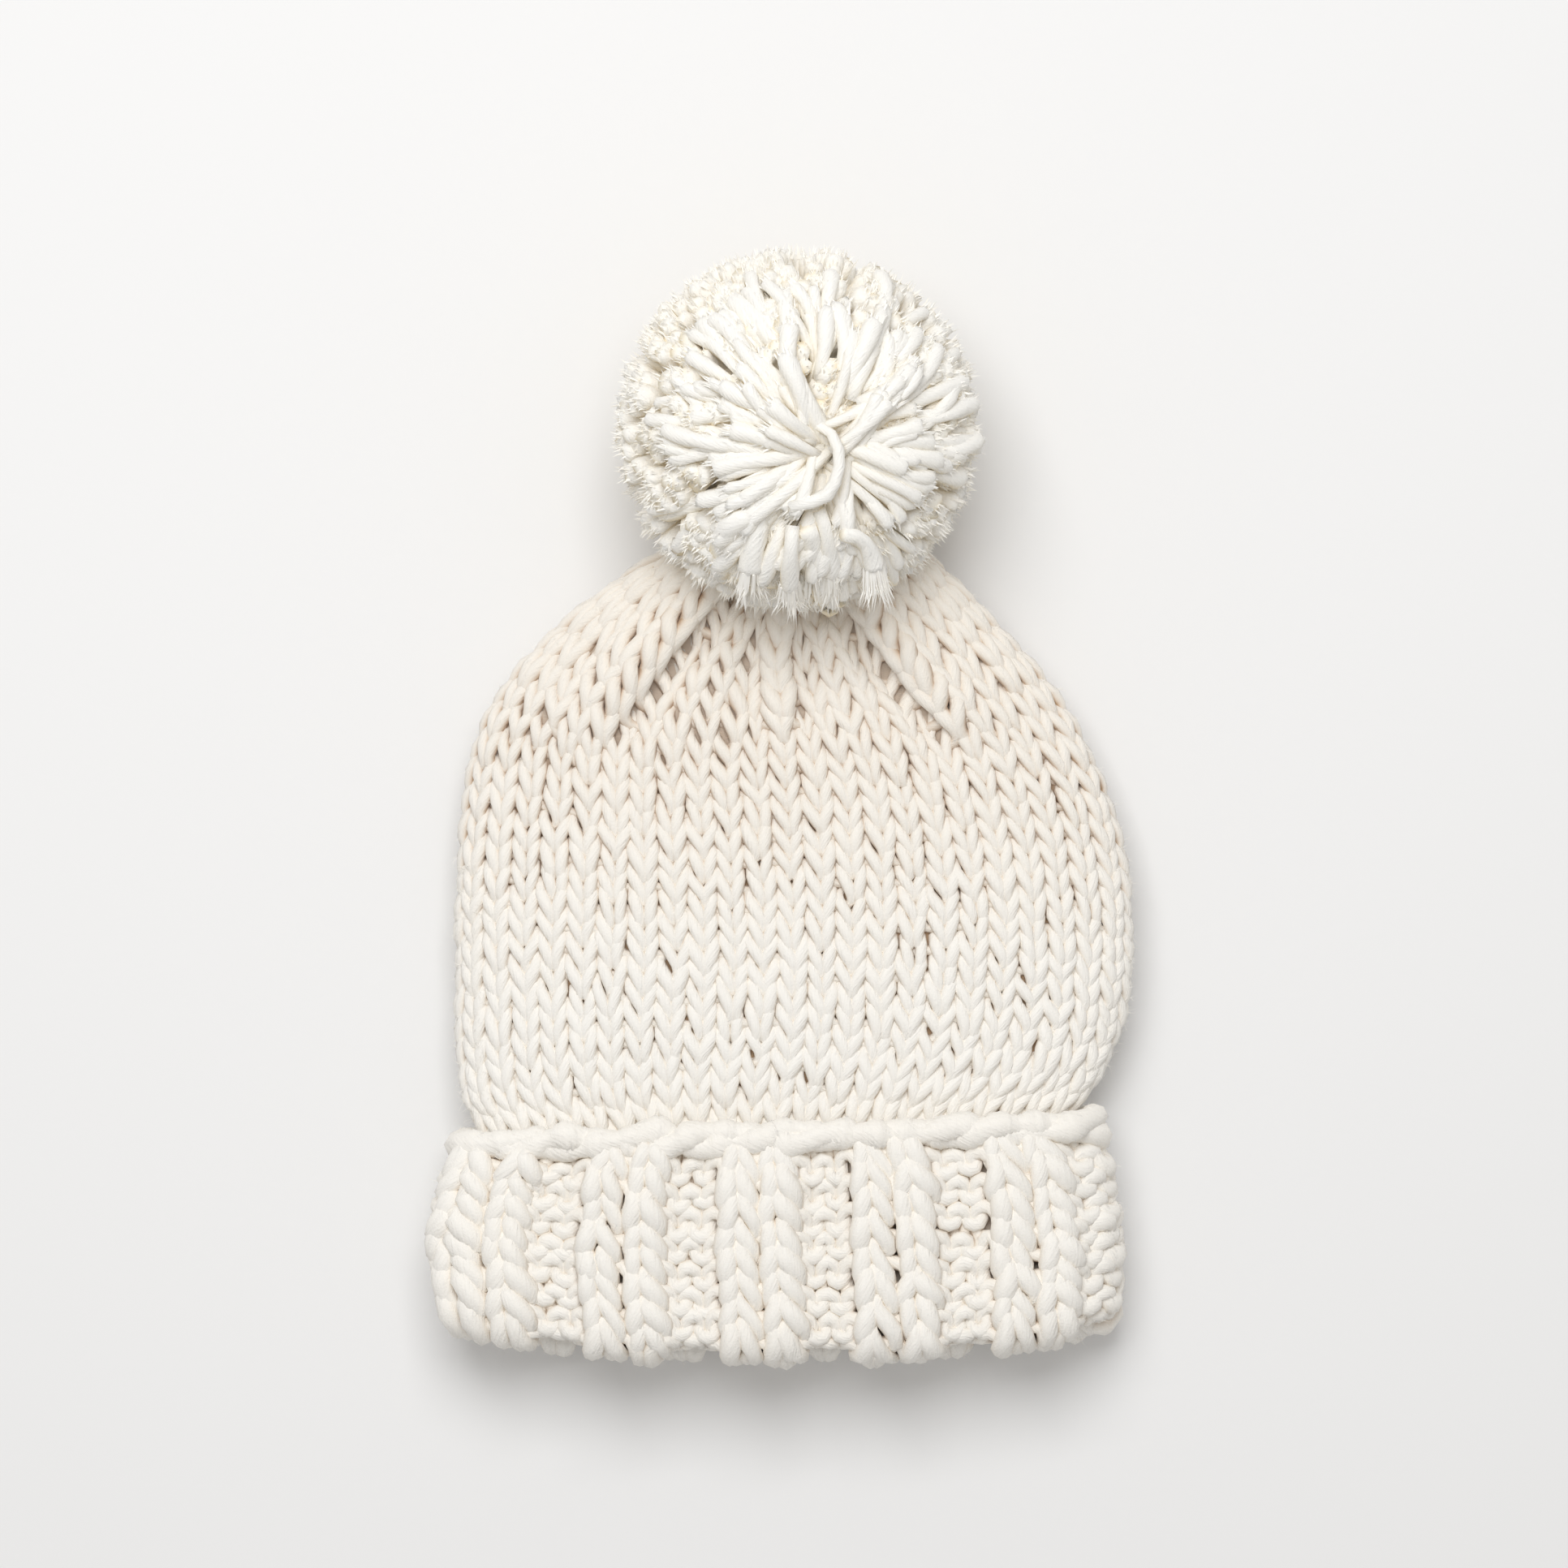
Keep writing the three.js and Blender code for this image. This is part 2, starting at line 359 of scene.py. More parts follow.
@dataclass(frozen=True)
class Loop:
    """Shape of one knitted loop.

    A course of yarn swings up to the head of each loop and down to the sinker between two loops, once a
    stitch, and twice a stitch it swings sideways and from front to back. The legs of a loop are pinched
    together and tilted, so that their feet lie over the heads below. The twist of the yarn slants the
    loops, so that one leg stands nearly straight.
    """

    sway: float = 0.22
    pinch: float = 0.035
    reach: float = 1.07
    slant: float = -0.11
    depth: float = 1.2
    tilt: float = 0.55
    plump: float = 0.16
    purl_sway: float = 0.95
    purl_reach: float = 0.9
    purl_depth: float = 0.7
    swell_reach: float = 0.12
    swell_height: float = 1.4
    swell_width: float = 0.08
    fill: float = 0.7
    widest: float = 1.2
    change: tuple[float, float] = (0.32, 0.68)
    steps: int = 16
    hand: Hand = Hand()

    def course(self, edges: Array, face: Array, boss: Array, rng: np.random.Generator) -> Course:
        """Lay one closed course of loops.

        Args:
            edges: Shares round the hat where the stitches meet, one more than the stitches.
            face: Value of each stitch's kind.
            boss: How far each stitch swells, with zero for a plain one.
            rng: Source of the unevenness of hand knitting.

        Returns:
            The course at every station.
        """
        hand = self.hand
        count = len(edges) - 1
        q = np.arange(count * self.steps) / self.steps
        t = 2 * math.pi * q
        low = np.floor(q).astype(int)
        turn = smoothstep(q - low, *self.change)

        def spread(values: Array) -> Array:
            """Carry the stitches' values to the stations, with an eased change between stitches."""
            looped = np.append(values, values[0]).astype(float)
            return looped[low] * (1 - turn) + looped[low + 1] * turn

        def uneven(size: float) -> Array:
            """Draw how far each stitch is out, and carry it to the stations."""
            return spread(rng.normal(0.0, size * hand.wild, count))

        widths = np.diff(edges)
        stretch = spread(np.minimum(widths / np.median(widths), self.widest))
        side, swell = spread(face), spread(boss)
        knit = 0.5 + 0.5 * side
        purl = 1 - knit
        sway = self.sway * (knit + self.purl_sway * purl) * (1 + uneven(hand.sway))
        drawn = 1 + self.swell_reach * swell + uneven(hand.reach)
        reach = self.reach * (knit + self.purl_reach * purl) * drawn
        depth = self.depth * (knit + self.purl_depth * purl)
        swing = np.cos(2 * t)
        rise = reach * np.cos(t)
        leg = self.slant * rise - self.pinch * np.sin(t)
        x = q + 0.5 + sway * np.sin(2 * t) + knit * leg + uneven(hand.place)
        height = -depth * side * swing - self.tilt * knit * np.cos(t) + self.swell_height * swell
        filled = (1 - self.plump * side * swing) * (1 + self.fill * (stretch - 1))
        return Course(
            share=np.interp(x, np.arange(2 * count + 1), np.concatenate([edges, edges[1:] + 1])),
            rise=rise + uneven(hand.rise),
            height=height + uneven(hand.height),
            width=filled * (1 + self.swell_width * swell + uneven(hand.width)),
            painted_shade=0.5 + 0.5 * side * swing,
        )


# Columns: level along Y, left edge, right edge, underside and top of the crown's outside.
CROWN_SECTIONS = np.array(
    [
        (-144.7, -87.0, 87.0, 8.2, 33.6),
        (-120.0, -89.4, 86.8, 8.2, 33.8),
        (-102.0, -86.6, 84.0, 8.2, 33.8),
        (-86.0, -82.5, 80.5, 8.0, 33.8),
        (-78.0, -86.8, 87.2, 3.0, 35.4),
        (-67.0, -88.6, 92.4, -1.5, 36.6),
        (-48.0, -89.2, 95.6, -2.0, 37.0),
        (-24.0, -89.2, 95.8, -2.0, 36.8),
        (0.0, -87.2, 91.2, -2.0, 36.0),
        (20.0, -83.2, 82.7, -2.0, 35.2),
        (37.0, -73.4, 71.6, -2.0, 34.6),
        (50.0, -60.4, 60.2, -0.5, 34.6),
        (60.0, -47.5, 50.0, 3.0, 35.4),
        (68.0, -34.0, 41.0, 7.5, 36.4),
        (74.0, -19.0, 28.5, 12.0, 36.6),
        (77.5, -5.0, 15.0, 18.0, 34.0),
    ]
)


@dataclass
class HatForm:
    """Outside of the crown as a surface of two parameters.

    The share runs once round a flattened section, in equal lengths, from the middle of the front
    towards +X. The level runs along Y from the hem to the tip.
    """

    sections: Array = field(default_factory=lambda: CROWN_SECTIONS)
    squareness: float = 2.6
    wall: float = 6.5
    fold_y: float = -152.0
    fold_bow: float = 9.0
    cuff_height: float = 68.0
    cuff_tilt: float = 0.03
    half_width: float = 92.0
    wedges: int = 7
    crease_tip: float = 0.08
    crease_span: tuple[float, float] = (14.0, 58.0)
    crease_depth: float = 4.0
    valley_off: float = 7.0
    valley_width: float = 4.5
    far_valley: float = 0.6
    ridge_height: float = 2.6
    ridge_off: float = 6.0
    ridge_width: float = 8.0
    gather_span: tuple[float, float] = (6.0, 40.0)
    levels: int = 260
    columns: int = 900

    def __post_init__(self) -> None:
        """Tabulate the surface and its normals."""
        self.level_y = np.linspace(self.sections[0, 0], self.sections[-1, 0], self.levels)
        left, right, under, over = (edge[:, None] for edge in self._outline(self.level_y))
        angle = np.linspace(0.0, 2 * math.pi, 2 * self.columns + 1)
        power = 2 / self.squareness
        across = np.sign(np.sin(angle)) * np.abs(np.sin(angle)) ** power
        upward = np.sign(np.cos(angle)) * np.abs(np.cos(angle)) ** power
        x = (left + right) / 2 + (right - left) / 2 * across
        z = (under + over) / 2 + (over - under) / 2 * upward
        steps = np.hypot(np.diff(x, axis=1), np.diff(z, axis=1))
        travel = np.pad(np.cumsum(steps, axis=1), ((0, 0), (1, 0)))
        self.girths = travel[:, -1]
        share = np.arange(self.columns) / self.columns
        x = np.stack([np.interp(share * t[-1], t, row) for t, row in zip(travel, x)])
        z = np.stack([np.interp(share * t[-1], t, row) for t, row in zip(travel, z)])
        y = self.level_y[:, None]
        points = np.stack([x, y + self.lift(x, y), z], -1)
        points += self._facing(points) * self.relief(share[None], y)[..., None]
        points[..., 2] = np.maximum(points[..., 2], 0.0)
        self.points = points
        self.normals = self._facing(points)

    def _outline(self, y: Array) -> list[Array]:
        """Read the left edge, the right edge, the underside and the top at levels along the hat."""
        return [through(self.sections[:, 0], column, y) for column in self.sections.T[1:]]

    @staticmethod
    def _facing(points: Array) -> Array:
        """Give the outward normals of a grid that wraps in its second direction."""
        around = np.roll(points, -1, axis=1) - np.roll(points, 1, axis=1)
        return unit(np.cross(around, np.gradient(points, axis=0)))

    def lift(self, x: Array, y: Array) -> Array:
        """Bow the fold at its ends and tilt the cuff's top edge.

        Args:
            x: Places across the hat.
            y: Levels along it.

        Returns:
            Shifts along Y: the cube of the place, which fades up the cuff, and a slope that fades away
            from its top edge.
        """
        bowed = 1 - smoothstep(y, self.fold_y, self.fold_y + self.cuff_height)
        tilted = 1 - smoothstep(np.abs(y - self.fold_y - self.cuff_height), 0.0, self.cuff_height)
        return self.fold_bow * bowed * np.abs(x / self.half_width) ** 3 + self.cuff_tilt * tilted * x

    def girth(self, y: Array) -> Array:
        """Length once round the section at a level."""
        return np.interp(y, self.level_y, self.girths)

    def crease(self, line: int, y: Array) -> Array:
        """Follow a gathered line on the right of the front's middle.

        Args:
            line: Number of the line, with zero in the front's middle.
            y: Levels along the hat.

        Returns:
            Shares round the hat. The first line closes in on the tip, and the others keep their places.
        """
        share = line / self.wedges
        low, high = self.crease_span
        drawn = np.clip((np.asarray(y, float) - low) / (high - low), 0.0, 1.0)
        return share + (self.crease_tip - share) * drawn * (line == 1)

    def relief(self, share: Array, y: Array) -> Array:
        """Raise and sink the surface in humps across each gathered line.

        Args:
            share: Shares round the hat.
            y: Levels along it.

        Returns:
            Heights: valleys beside each line and a puffed ridge outside the front's two, all of which
            fade out below the gathers.
        """
        folded = np.minimum(share, 1 - share)
        height = np.zeros(np.broadcast(share, y).shape)
        for line in range(self.wedges // 2 + 1):
            beyond = (folded - self.crease(line, y)) * self.girth(y)
            height -= self.crease_depth * hump(beyond, -self.valley_off, self.valley_width)
            if line == 1:
                height += self.ridge_height * hump(beyond, self.ridge_off, self.ridge_width)
            else:
                far = self.far_valley * self.crease_depth
                height -= far * hump(beyond, self.valley_off, self.valley_width)
        return height * smoothstep(y, *self.gather_span)

    def at(self, share: Array, y: Array) -> tuple[Array, Array]:
        """Read the surface.

        Args:
            share: Shares round the section, of any size.
            y: Levels along the hat.

        Returns:
            Points and outward normals.
        """
        span = self.level_y[-1] - self.level_y[0]
        row = np.clip((y - self.level_y[0]) / span, 0.0, 1.0) * (self.levels - 1)
        i = np.minimum(row.astype(int), self.levels - 2)
        column = (share % 1.0) * self.columns
        j = column.astype(int) % self.columns
        k = (j + 1) % self.columns
        down = (row - i)[..., None]
        right = (column - np.floor(column))[..., None]

        def read(grid: Array) -> Array:
            """Blend the four grid values round each place.

            Args:
                grid: Values at the levels and columns of the surface.

            Returns:
                Values at the places.
            """
            low = grid[i, j] * (1 - right) + grid[i, k] * right
            high = grid[i + 1, j] * (1 - right) + grid[i + 1, k] * right
            return low * (1 - down) + high * down

        return read(self.points), unit(read(self.normals))

    def top(self, x: Array, y: Array) -> Array:
        """Find the crown's front over the floor from the superellipse of each section.

        Args:
            x: Places across the hat.
            y: Levels along it.

        Returns:
            Heights, with zero outside the crown.
        """
        left, right, under, over = self._outline(y)
        off = np.abs((x - (left + right) / 2) / ((right - left) / 2))
        bulge = np.maximum(1 - off**self.squareness, 0.0) ** (1 / self.squareness)
        inside = (off < 1) & (y < self.level_y[-1])
        return np.where(inside, (under + over) / 2 + (over - under) / 2 * bulge, 0.0)


class Tone(Enum):
    """Colours of the wool, linear, lightest first: the wool's own colour, a warmer tone for its fibre
    streaks that is also the painted shade between the yarns, and the deeper painted shade of the
    deepest gaps.
    """

    CROWN = ((0.925, 0.91, 0.875), (0.85, 0.765, 0.64), (0.46, 0.28, 0.14))
    CUFF = ((0.92, 0.903, 0.865), (0.85, 0.76, 0.63), (0.46, 0.28, 0.14))
    POMPOM = ((0.925, 0.918, 0.897), (0.92, 0.85, 0.69), (0.88, 0.74, 0.47))


class Value:
    """A shader value that takes part in Python arithmetic."""

    def __init__(self, graph: "Graph", socket: bpy.types.NodeSocket) -> None:
        """Wrap an output socket of the graph."""
        self.graph = graph
        self.socket = socket

    def _math(self, operation: str, first: Any, second: Any) -> "Value":
        """Join two values with one step of arithmetic."""
        node = self.graph.node("ShaderNodeMath", {"operation": operation}, {0: first, 1: second})
        return Value(self.graph, node.outputs[0])

    def __add__(self, other: Any) -> "Value":
        """Sum of the values."""
        return self._math("ADD", self, other)

    def __mul__(self, other: Any) -> "Value":
        """Product of the values."""
        return self._math("MULTIPLY", self, other)

    def __sub__(self, other: Any) -> "Value":
        """Difference of the values."""
        return self._math("SUBTRACT", self, other)

    def __pow__(self, other: Any) -> "Value":
        """Power of the value."""
        return self._math("POWER", self, other)


class Graph:
    """Node tree of one material."""

    def __init__(self, name: str) -> None:
        """Start an empty material.

        Args:
            name: Name of the material.
        """
        self.material = bpy.data.materials.new(name)
        self.material.use_nodes = True
        self.material.node_tree.nodes.clear()

    def node(self, kind: str, settings: dict[str, Any], sockets: dict[Any, Any]) -> bpy.types.Node:
        """Add a node.

        Args:
            kind: Blender's name of the node type.
            settings: Properties of the node.
            sockets: Inputs by name or number, each a value, a socket or a constant.

        Returns:
            The node.
        """
        node = self.material.node_tree.nodes.new(kind)
        for key, setting in settings.items():
            setattr(node, key, setting)
        for key, given in sockets.items():
            source = given.socket if isinstance(given, Value) else given
            if isinstance(source, bpy.types.NodeSocket):
                self.material.node_tree.links.new(source, node.inputs[key])
            else:
                node.inputs[key].default_value = source
        return node

    def value(self, kind: str, settings: dict[str, Any], sockets: dict[Any, Any], output: Any = 0) -> Value:
        """Add a node and wrap one of its outputs."""
        return Value(self, self.node(kind, settings, sockets).outputs[output])

    def mix(self, share: Any, first: Any, second: Any) -> Value:
        """Blend two colours."""
        settings = {"data_type": "RGBA", "clamp_factor": True}
        return self.value("ShaderNodeMix", settings, {0: share, 6: first, 7: second}, 2)

    def noise(self, place: Value, scale: float, detail: float) -> Value:
        """Read noise at a place."""
        return self.value("ShaderNodeTexNoise", {}, {"Vector": place, "Scale": scale, "Detail": detail})

    def surface(self, sockets: dict[str, Any]) -> bpy.types.Material:
        """Close the tree with one principled surface.

        Args:
            sockets: Inputs of the surface by name.

        Returns:
            The material.
        """
        shader = self.node("ShaderNodeBsdfPrincipled", {}, sockets)
        self.node("ShaderNodeOutputMaterial", {}, {"Surface": shader.outputs[0]})
        return self.material


@dataclass(frozen=True)
class WoolFinish:
    """Matt fuzzy wool with fibres that run along the yarn and painted warm shade between the yarns."""

    name: str
    tone: Tone
    fibres_along: float = 0.22
    fibres_round: float = 21.0
    fibre_twist: float = 0.035
    fibre_detail: float = 4.0
    fluff_scale: float = 1900.0
    fluff_detail: float = 3.0
    tint_scale: float = 38.0
    tint_detail: float = 2.0
    streak_start: float = 0.36
    streak_gain: float = 1.5
    tint_gain: float = 0.9
    warmth: float = 0.16
    # How far and how steeply the painted shade blends in.
    shade_share: float = 0.9
    shade_fall: float = 1.2
    fibre_height: float = 0.85
    fluff_height: float = 0.35
    relief: float = 0.6
    relief_depth: float = 0.8
    roughness: float = 0.92
    specular: float = 0.2
    sheen: float = 0.35
    sheen_roughness: float = 0.6
    sheen_tint: tuple[float, float, float, float] = (1.0, 0.98, 0.94, 1.0)

    def material(self) -> bpy.types.Material:
        """Build the material from the yarn's own lengths and its painted shade.

        Returns:
            The material. Noise drawn out along the twisted fibres streaks and raises the wool, and a power
            of the painted shade blends it towards the painted warm shade.
        """
        graph = Graph(self.name)
        light, middle, deep = ((*colour, 1.0) for colour in self.tone.value)
        yarn = graph.value("ShaderNodeUVMap", {"uv_map": "yarn"}, {})
        place = graph.value("ShaderNodeTexCoord", {}, {}, "Object")
        painted_shade = graph.value("ShaderNodeAttribute", {"attribute_name": "painted_shade"}, {}, "Fac")
        split = graph.node("ShaderNodeSeparateXYZ", {}, {0: yarn})
        along, turn = (Value(graph, split.outputs[axis]) for axis in (0, 1))
        turn = (turn - along * self.fibre_twist) * self.fibres_round
        drawn = graph.value("ShaderNodeCombineXYZ", {}, {0: along * self.fibres_along, 1: turn})
        fibre = graph.noise(drawn, 1.0, self.fibre_detail)
        fluff_and_painted_shade_sheet = graph.noise(place, self.fluff_scale, self.fluff_detail)
        tint = graph.noise(place, self.tint_scale, self.tint_detail)
        streak = (fibre - self.streak_start) * self.streak_gain + (tint - 0.5) * self.tint_gain
        colour = graph.mix(streak, graph.mix(self.warmth, light, middle), light)
        # Painted shade: the warm middle and deeper colours, blended in where the painted shade is high.
        shade = graph.mix(painted_shade**2, middle, deep)
        colour = graph.mix(painted_shade**self.shade_fall * self.shade_share, colour, shade)
        height = fibre * self.fibre_height + fluff_and_painted_shade_sheet * self.fluff_height
        bumps = {"Strength": self.relief, "Distance": self.relief_depth * MM, "Height": height}
        return graph.surface(
            {
                "Base Color": colour,
                "Roughness": self.roughness,
                "Specular IOR Level": self.specular,
                "Sheen Weight": self.sheen,
                "Sheen Roughness": self.sheen_roughness,
                "Sheen Tint": self.sheen_tint,
                "Normal": graph.value("ShaderNodeBump", {}, bumps),
            }
        )


class Dresser:
    """Makes the finishes and hands finished pieces to the frame."""

    def __init__(self) -> None:
        """Make the wool of each solid, and the same wool without relief for its loose fibres."""
        self.wool: dict[str, bpy.types.Material] = {}
        self.fibre: dict[str, bpy.types.Material] = {}
        for tone in Tone:
            node = tone.name.lower()
            self.wool[node] = WoolFinish(f"{node}_wool", tone).material()
            self.fibre[node] = WoolFinish(f"{node}_fibre", tone, relief=0.0).material()

    def dress(self, skin: Skin, node: str, part: str, loose: bool = False) -> bpy.types.Object:
        """Write a piece, give it its finish and its body, and hide the solid that it stands for.

        Args:
            skin: Faces of the piece.
            node: Solid that the piece stands for.
            part: Name of the piece on that solid.
            loose: Whether the piece is loose fibres, which are too thin for smooth shading and relief.

        Returns:
            The piece.
        """
        piece = skin.mesh(f"{node}_{part}", smooth=not loose)
        piece.data.materials.append((self.fibre if loose else self.wool)[node])
        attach(piece, "root")
        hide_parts(node)
        LOG.info("%s: %d faces", piece.name, len(piece.data.polygons))
        return piece


@dataclass(frozen=True)
class Fuzz:
    """Loose fibres that stand off the wool."""

    count: int
    length: float = 3.0
    length_shares: tuple[float, float] = (0.5, 1.4)
    yarn: Yarn = Yarn(0.05, sides=3, ply_depth=0.0)
    taper: float = 0.8
    stand: float = 0.55
    lean: tuple[float, float] = (0.3, 1.0)
    bend: float = 0.7
    droop: float = 0.2
    root_spread: float = 0.5
    root_depth: float = 0.25
    root_point: float = 0.1
    # Fibres grow only where the painted shade is below this.
    deepest: float = 0.45
    heights: tuple[float, float] = (1.0, 28.0)
    seed: int = 5

    def grow(self, piece: bpy.types.Object) -> Skin:
        """Grow bent fibres from the outer side of a piece's yarn.

        Args:
            piece: Mesh that carries the fibres.

        Returns:
            Three-sided fibres that leave the wool along its normal and bend over to a point.
        """
        rng = np.random.default_rng(self.seed)
        data = piece.data
        size = len(data.vertices)
        place, facing, painted_shade = np.empty(3 * size), np.empty(3 * size), np.empty(size)
        data.vertices.foreach_get("co", place)
        data.vertices.foreach_get("normal", facing)
        data.attributes["painted_shade"].data.foreach_get("value", painted_shade)
        place, facing = place.reshape(-1, 3) / MM, facing.reshape(-1, 3)
        low, high = self.heights
        flank = (place[:, 2] > low) & (place[:, 2] < high)
        picks = rng.choice(np.flatnonzero((painted_shade < self.deepest) & flank), self.count)
        each = (self.count, 1)
        away = facing[picks]
        along = unit(np.cross(away, rng.normal(0, 1, away.shape)))
        half = 0.5 * self.length * rng.uniform(*self.length_shares, each)
        root = place[picks] + along * rng.normal(0, self.root_spread, each) - away * self.root_depth
        way = unit(away * self.stand + along * rng.uniform(*self.lean, each))
        middle = root + way * half
        tip = middle + unit(way + along * rng.normal(0, self.bend, each) - away * self.droop) * half
        lean = np.stack([np.cross(way, along)] * 2, 1) + OFF_AXIS
        width = np.tile([1.0, self.taper], each)
        rings, run = self.yarn.rings(np.stack([root, middle], 1), lean, width, False)
        skin = Skin()
        skin.add_tubes(rings, np.zeros(rings.shape[:3]), root - way * self.root_point, tip, run)
        return skin


@dataclass
class Crown:
    """Stocking-stitch crown, gathered in wedges under the pompom."""

    form: HatForm
    yarn: Yarn = Yarn(1.6, fluff_and_painted_shade_sheet=0.03)
    back_yarn: Yarn = Yarn(1.6, sides=6, fluff_and_painted_shade_sheet=0.03)
    loop: Loop = Loop(sway=0.265, pinch=0.03, slant=-0.08)
    wedge_wales: int = 7
    first_row: float = -96.0
    last_row: float = 73.0
    row_pitch: float = 6.2
    row_wave: Wave = Wave(0.7, 3)
    row_wave_pitch: float = 23.0
    drift: Wave = Wave(0.0011, 5)
    drift_pitch: float = 13.0
    gather_y: float = 12.0
    gather_ease: float = 16.0
    gather_end: float = 70.0
    gather_squeeze: float = 0.14
    chain_swell: float = 0.25
    pair_room: float = 0.7
    shoulder_rise: float = 15.0
    shoulder_span: tuple[float, float] = (-30.0, 55.0)
    shoulder_shares: tuple[float, float, float] = (0.1, 0.25, 0.42)
    top_plump: float = 0.13
    top_span: tuple[float, float] = (8.0, 40.0)
    # Painted shade that deepens up the crown towards the pompom, which shades it.
    shade: float = 1.1
    painted_shade_span: tuple[float, float] = (-70.0, 30.0)
    # A sheet inside the wall, painted dark with the shade that shows between the loops.
    core_span: tuple[float, float] = (-143.0, 77.0)
    core_grid: tuple[int, int] = (64, 112)
    core_depth: float = 1.0
    core_half: float = 0.3
    core_ease: float = 15.0
    core_lift: float = 0.8
    core_fade: float = 0.2
    front_fuzz: Fuzz = Fuzz(1800)
    back_fuzz: Fuzz = Fuzz(600)
    seed: int = 11

    def edges(self, y: float) -> tuple[Array, Array]:
        """Share the stitches of one course round the hat.

        A chain of larger stitches runs up each gathered line. The wales of a wedge run level with its
        middle and end at the chains, two at a time, where the outer stitches take up what is left.

        Args:
            y: Level of the course.

        Returns:
            Shares where the stitches meet, from just left of the front's middle, and how far each
            stitch swells.
        """
        form = self.form
        girth = float(form.girth(y))
        drawn = float(smoothstep(y, self.gather_y, self.gather_y + self.gather_ease))
        plain = float(form.girth(min(y, self.gather_y))) / (form.wedges * self.wedge_wales)
        wale = plain * (1 - self.gather_squeeze * float(smoothstep(y, self.gather_y, self.gather_end)))
        chain = wale * (1 + self.chain_swell * drawn) / 2
        half = form.wedges // 2
        right = [float(form.crease(k, y)) * girth for k in range(half + 1)]
        lines = right + [girth - place for place in right[:0:-1]] + [girth]
        edges, boss = [np.array([-chain])], []
        for start, stop in zip(lines, lines[1:]):
            room = stop - start - 2 * chain
            pairs = max(1, min(self.wedge_wales // 2, int(room / wale / 2 + self.pair_room)))
            inner = (start + stop) / 2 + wale * np.arange(1 - pairs, pairs)
            edges += [[start + chain], inner, [stop - chain]]
            boss += [[drawn], np.zeros(2 * pairs)]
        return np.concatenate(edges) / girth, np.concatenate(boss)

    def shoulder(self, share: Array, y: float) -> Array:
        """Raise a course towards the hat's sides, where it runs round the tip.

        Args:
            share: Shares round the hat.
            y: Level of the course at the front's middle.

        Returns:
            Rises that ease in and out again about each side.
        """
        folded = np.minimum(share % 1.0, 1 - share % 1.0)
        start, crest, stop = self.shoulder_shares
        bump = smoothstep(folded, start, crest) * (1 - smoothstep(folded, crest, stop))
        return self.shoulder_rise * float(smoothstep(y, *self.shoulder_span)) * bump

    def build(self) -> dict[str, Skin]:
        """Knit the crown in courses from under the cuff to the tip.

        Returns:
            Faces of the front and of the back.
        """
        rng = np.random.default_rng(self.seed)
        skins = {"front": Skin(), "back": Skin()}
        for y in np.arange(self.first_row, self.last_row, self.row_pitch):
            edges, boss = self.edges(y)
            course = self.loop.course(edges, np.full(len(boss), Stitch.KNIT.value), boss, rng)
            share = course.share
            level = y + self.shoulder(share, y) + self.row_pitch * course.rise
            level = level + self.row_wave.at(share, y / self.row_wave_pitch)
            share = share + self.drift.at(share, y / self.drift_pitch)
            point, facing = self.form.at(share, level)
            path = point + facing * (course.height - self.form.wall / 2)[:, None]
            self._cut(skins, path, facing, course, share)
        return skins

    def _cut(
        self, skins: dict[str, Skin], path: Array, facing: Array, course: Course, share: Array
    ) -> None:
        """Sweep one closed course and cut it at the hat's sides into a front and a back.

        Args:
            skins: Meshes of the front and of the back.
            path: Centre line of the course.
            facing: Outward direction at each station.
            course: Loops of the course.
            share: Share round the hat at each station.
        """
        stations = len(path)
        left = int(np.argmin(np.abs(share - LEFT_SIDE)))
        right = (int(np.argmin(np.abs(share - RIGHT_SIDE))) - left) % stations
        path, facing = np.roll(path, -left, axis=0), np.roll(facing, -left, axis=0)
        width, deep = np.roll(course.width, -left), np.roll(course.painted_shade, -left)
        level = path[:, 1].mean()
        width = width * (1 + self.top_plump * float(smoothstep(level, *self.top_span)))
        # Paint more shade on the yarn up the crown towards the pompom.
        deep = deep + self.shade * float(smoothstep(level, *self.painted_shade_span))
        halves = (("front", self.yarn, 0, right), ("back", self.back_yarn, right, stations))
        for name, yarn, first, last in halves:
            yarn.lay_course(skins[name], path, facing, width, yarn.painted_shade(deep), first, last)

    def core(self) -> Skin:
        """Lay a thin sheet inside the wall, from hem to tip, painted dark with shade that shows through the
        gaps between the loops.

        Returns:
            A thin closed shell that follows the outside, and comes nearer to it in the gathers, where its
            painted shade is lighter.
        """
        rows, columns = self.core_grid
        levels = np.linspace(*self.core_span, rows)
        point, facing = self.form.at(*np.meshgrid(np.arange(columns) / columns, levels))
        drawn = smoothstep(levels, self.gather_y - self.core_ease, self.gather_y + self.core_ease)[:, None]
        middle = self.form.wall / 2 + (self.core_depth * (1 - self.core_lift * drawn))[..., None]
        outer, inner = (point - facing * (middle + half) for half in (-self.core_half, self.core_half))
        skin = Skin()
        skin.add_shell(outer, inner, 1 - self.core_fade * drawn)
        return skin

    def dress(self, dresser: Dresser) -> None:
        """Build the crown's pieces and dress them.

        Args:
            dresser: Maker of the finishes, which hands the pieces to the frame.
        """
        fuzz = {"front": self.front_fuzz, "back": self.back_fuzz}
        for side, skin in self.build().items():
            knit = dresser.dress(skin, "crown", f"knit_{side}")
            dresser.dress(fuzz[side].grow(knit), "crown", f"fuzz_{side}", loose=True)
        # A sheet painted with shade, seen through the gaps between the loops.
        dresser.dress(self.core(), "crown", "fluff_and_painted_shade_sheet")


